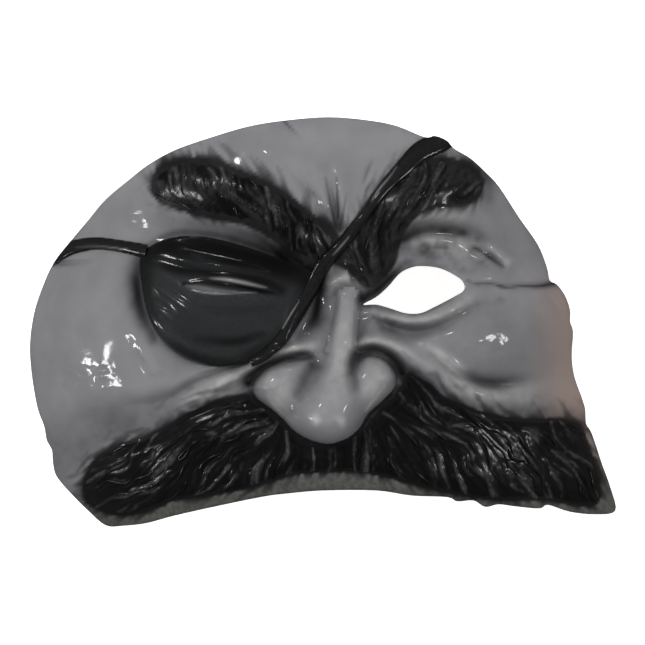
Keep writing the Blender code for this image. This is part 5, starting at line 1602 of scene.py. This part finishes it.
def locks(outline, comb, rim, plan, surface, seed):
    """Tapered locks as closed tubes that lie on the hair's mass: places and faces."""
    paths, rng = lock_paths(outline, comb, rim, plan, seed)
    count = len(paths)
    share = np.linspace(0, 1, LOCK_STEPS)
    arch = np.clip(share * LOCK_ARCH_SPAN + LOCK_TIP, 0, 1)
    arch = np.sin(np.pi * arch) ** LOCK_ARCH_POWER
    size = rng.uniform(*LOCK_SIZES, count)[:, None]
    height = along_paths(surface, paths) + plan[3] * (arch * LOCK_RISE - LOCK_SINK) * size
    flat = along_paths(lambda px, py: depth_inside(outline, px, py), paths)
    height = height - LOCK_DROP * (1 - ease(flat / LOCK_DROP_SPAN + LOCK_DROP_START))
    middle = np.dstack([paths, height])
    along = np.gradient(middle, axis=1)
    along = along / np.linalg.norm(along, axis=2, keepdims=True)
    side = np.cross(along, [0.0, 0.0, 1.0])
    side = side / np.linalg.norm(side, axis=2, keepdims=True)
    proud = np.cross(side, along)
    taper = np.clip(np.sin(np.pi * share ** LOCK_TAPER), LOCK_TIP, 1) ** LOCK_TAPER
    angle = np.linspace(0, 2 * np.pi, LOCK_SIDES, endpoint=False)
    broad = (plan[2] * taper * size)[..., None, None] * np.cos(angle)[:, None]
    thick = (plan[3] * taper * size)[..., None, None] * np.sin(angle)[:, None]
    rings = middle[:, :, None] + side[:, :, None] * broad + proud[:, :, None] * thick
    index = np.arange(count * LOCK_STEPS * LOCK_SIDES).reshape(count, LOCK_STEPS, LOCK_SIDES)
    turned = np.roll(index, -1, 2)
    corners = [index[:, :-1], turned[:, :-1], turned[:, 1:], index[:, 1:]]
    quads = np.stack(corners, -1).reshape(-1, 4)
    ends = np.vstack([index[:, 0, ::-1], index[:, -1]])
    return rings.reshape(-1, 3), quads.tolist() + ends.tolist()


def build_hair(name, coarse, outline, tools, rim, thickness):
    """A mass of hair with locks laid over it, as one mesh."""
    lift = hair_lift(name, outline, thickness)
    item = build_layer(name + "_relief", coarse, outline, lift, tools)

    def surface(x, y):
        inward = depth_inside(outline, x, y)
        return skin_height(x, y) + thickness * ease(inward / HAIR_EDGE) - HAIR_SINK / 2

    seed = HAIR_SEEDS[name] + LOCK_SEED
    places, faces = locks(outline, COMBS[name], rim, LOCKS[name], surface, seed)
    data = bpy.data.meshes.new(name + "_locks")
    data.from_pydata(places.tolist(), [], faces)
    laid = thing(name + "_locks", data)
    mesh = bmesh.new()
    mesh.from_mesh(item.data)
    mesh.from_mesh(data)
    mesh.to_mesh(item.data)
    mesh.free()
    bpy.data.objects.remove(laid)
    return item


def proud_of(item, height, span):
    """Marks how far each vertex stands above the skin, from 0 to 1."""
    x, y, z = places_of(item).T
    painted(item, "proud", np.clip((z - skin_height(x, y) - height) / span, 0, 1))


def build_light(name, place, size, power, gloss, matt):
    """A soft box that faces the mask; some only add to the gloss, and some only to the rest."""
    lamp = bpy.data.lights.new(name, "AREA")
    lamp.shape = "RECTANGLE"
    lamp.size, lamp.size_y = size
    lamp.energy = power
    item = thing(name, lamp)
    item.location = place
    way = np.array(LIGHT_AIM) - np.array(place)
    item.rotation_mode = "QUATERNION"
    item.rotation_quaternion = Vector(way).to_track_quat("-Z", "Y")
    item.visible_camera = False
    item.visible_glossy = gloss
    item.visible_diffuse = matt


def build_studio():
    """A pale floor, soft light from the upper left, and the photograph's view from above."""
    floor = thing("floor", bpy.data.meshes.new("floor"))
    corners = [(across * FLOOR_REACH, up * FLOOR_REACH, 0) for across, up in SQUARE]
    floor.data.from_pydata(corners, [], [(0, 1, 2, 3)])
    made, tree, _ = material("lit_white_table")
    shader = add(tree, "ShaderNodeBsdfPrincipled", {
        "Base Color": linear("#f6f6f6"), "Roughness": 0.9,
        "Emission Color": linear("#ffffff"), "Emission Strength": 0.8,
    })
    add(tree, "ShaderNodeOutputMaterial", {"Surface": shader[0]})
    floor.data.materials.append(made)
    floor.location.z = -FLOOR_GAP
    floor.visible_glossy = False
    world = bpy.data.worlds.new("studio")
    world.use_nodes = True
    world.node_tree.nodes["Background"].inputs["Color"].default_value = (1, 1, 1, 1)
    world.node_tree.nodes["Background"].inputs["Strength"].default_value = WORLD_LIGHT
    bpy.context.scene.world = world
    for name, row in LAMPS.items():
        build_light(name, *row)
    camera = bpy.data.cameras.new("camera")
    camera.lens = camera.sensor_width * CAMERA_DISTANCE / VIEW_WIDTH
    camera.clip_end = CAMERA_REACH
    holder = thing("camera", camera)
    holder.location = CAMERA_PLACE
    bpy.context.scene.camera = holder
    bpy.context.scene.view_settings.view_transform = "Standard"


def build_hairs(coarse, outlines, rim, inside_rim):
    """The moustache and the brows, marked with the grey of their strands."""
    hairs = {}
    for name, thickness in [
        ("moustache", MOUSTACHE_THICKNESS), ("eyebrow_left", BROW_THICKNESS),
        ("eyebrow_right", BROW_THICKNESS),
    ]:
        item = build_hair(name, coarse, outlines[name], inside_rim, rim, thickness)
        x, y, _ = places_of(item).T
        painted(item, "proud", greyed(name, x, y))
        hairs[name] = item
    return hairs


def mark_raised_and_streaks(item, highlight_streaks, height, span):
    """Marks where a strap or the patch stands proud, and where painted highlight streaks lie on it."""
    proud_of(item, height, span)
    x, y, _ = places_of(item).T
    strength = strongest(np.zeros(len(x)), highlight_streaks, x, y, FOLD_BREADTH, STREAK_POWER)
    painted(item, "highlight_streaks", strength)


def main():
    coarse = settled_grid(COARSE_SPACING)
    outline = rounded(OUTLINE, True)
    rim = prism("rim", outline)
    outlines = {
        "eyebrow_left": rounded(BROW_LEFT, True), "eyebrow_right": rounded(BROW_RIGHT, True),
        "moustache": rounded(MOUSTACHE, True), "patch": rounded(PATCH, True),
    }
    inside_rim = [(rim, "INTERSECT")]
    shell = build_shell(coarse, outline, rim)
    upper, side = (
        build_layer(name, coarse, strap_outline(rows), strap_lift(rows), inside_rim)
        for name, rows in [("strap_upper", STRAP_UPPER), ("strap_side", STRAP_SIDE)]
    )
    patch = outlines["patch"]
    leather = build_layer("patch_leather", coarse, patch, patch_lift(patch), [])
    hairs = build_hairs(coarse, outlines, outline, inside_rim)
    bpy.data.objects.remove(rim)
    shell.data.materials.append(skin_lacquer())
    shell.data.materials.append(hollow_paper())
    paint_shell(shell, outlines)
    mark_raised_and_streaks(upper, STRAP_HIGHLIGHTS, PROUD_FROM, STRAP_PROUD_SPAN)
    mark_raised_and_streaks(side, STRAP_HIGHLIGHTS, PROUD_FROM, STRAP_PROUD_SPAN)
    mark_raised_and_streaks(leather, PATCH_HIGHLIGHTS, PROUD_FROM, PATCH_PROUD_SPAN)
    # Painted shade in the patch's creases, slit and edges
    x, y, _ = places_of(leather).T
    painted_shade = strongest(np.zeros(len(x)), PATCH_SHADE, x, y, FOLD_BREADTH, STREAK_POWER)
    painted(leather, "painted_shade", painted_shade)
    offset = shift()
    blacks = {slot: black_lacquer(*row) for slot, row in BLACKS.items()}
    plan = [
        (shell, "mask_shell", "shell"), (upper, "patch_strap_upper", "strap"),
        (side, "patch_strap_side", "strap"), (leather, "eye_patch", "patch"),
    ]
    plan += [(item, name, "hair") for name, item in hairs.items()]
    for item, node, slot in plan:
        moved(item, offset)
        smooth(item, SHARP_FROM[slot])
        dress(item, node, blacks.get(slot))
    build_studio()


main()
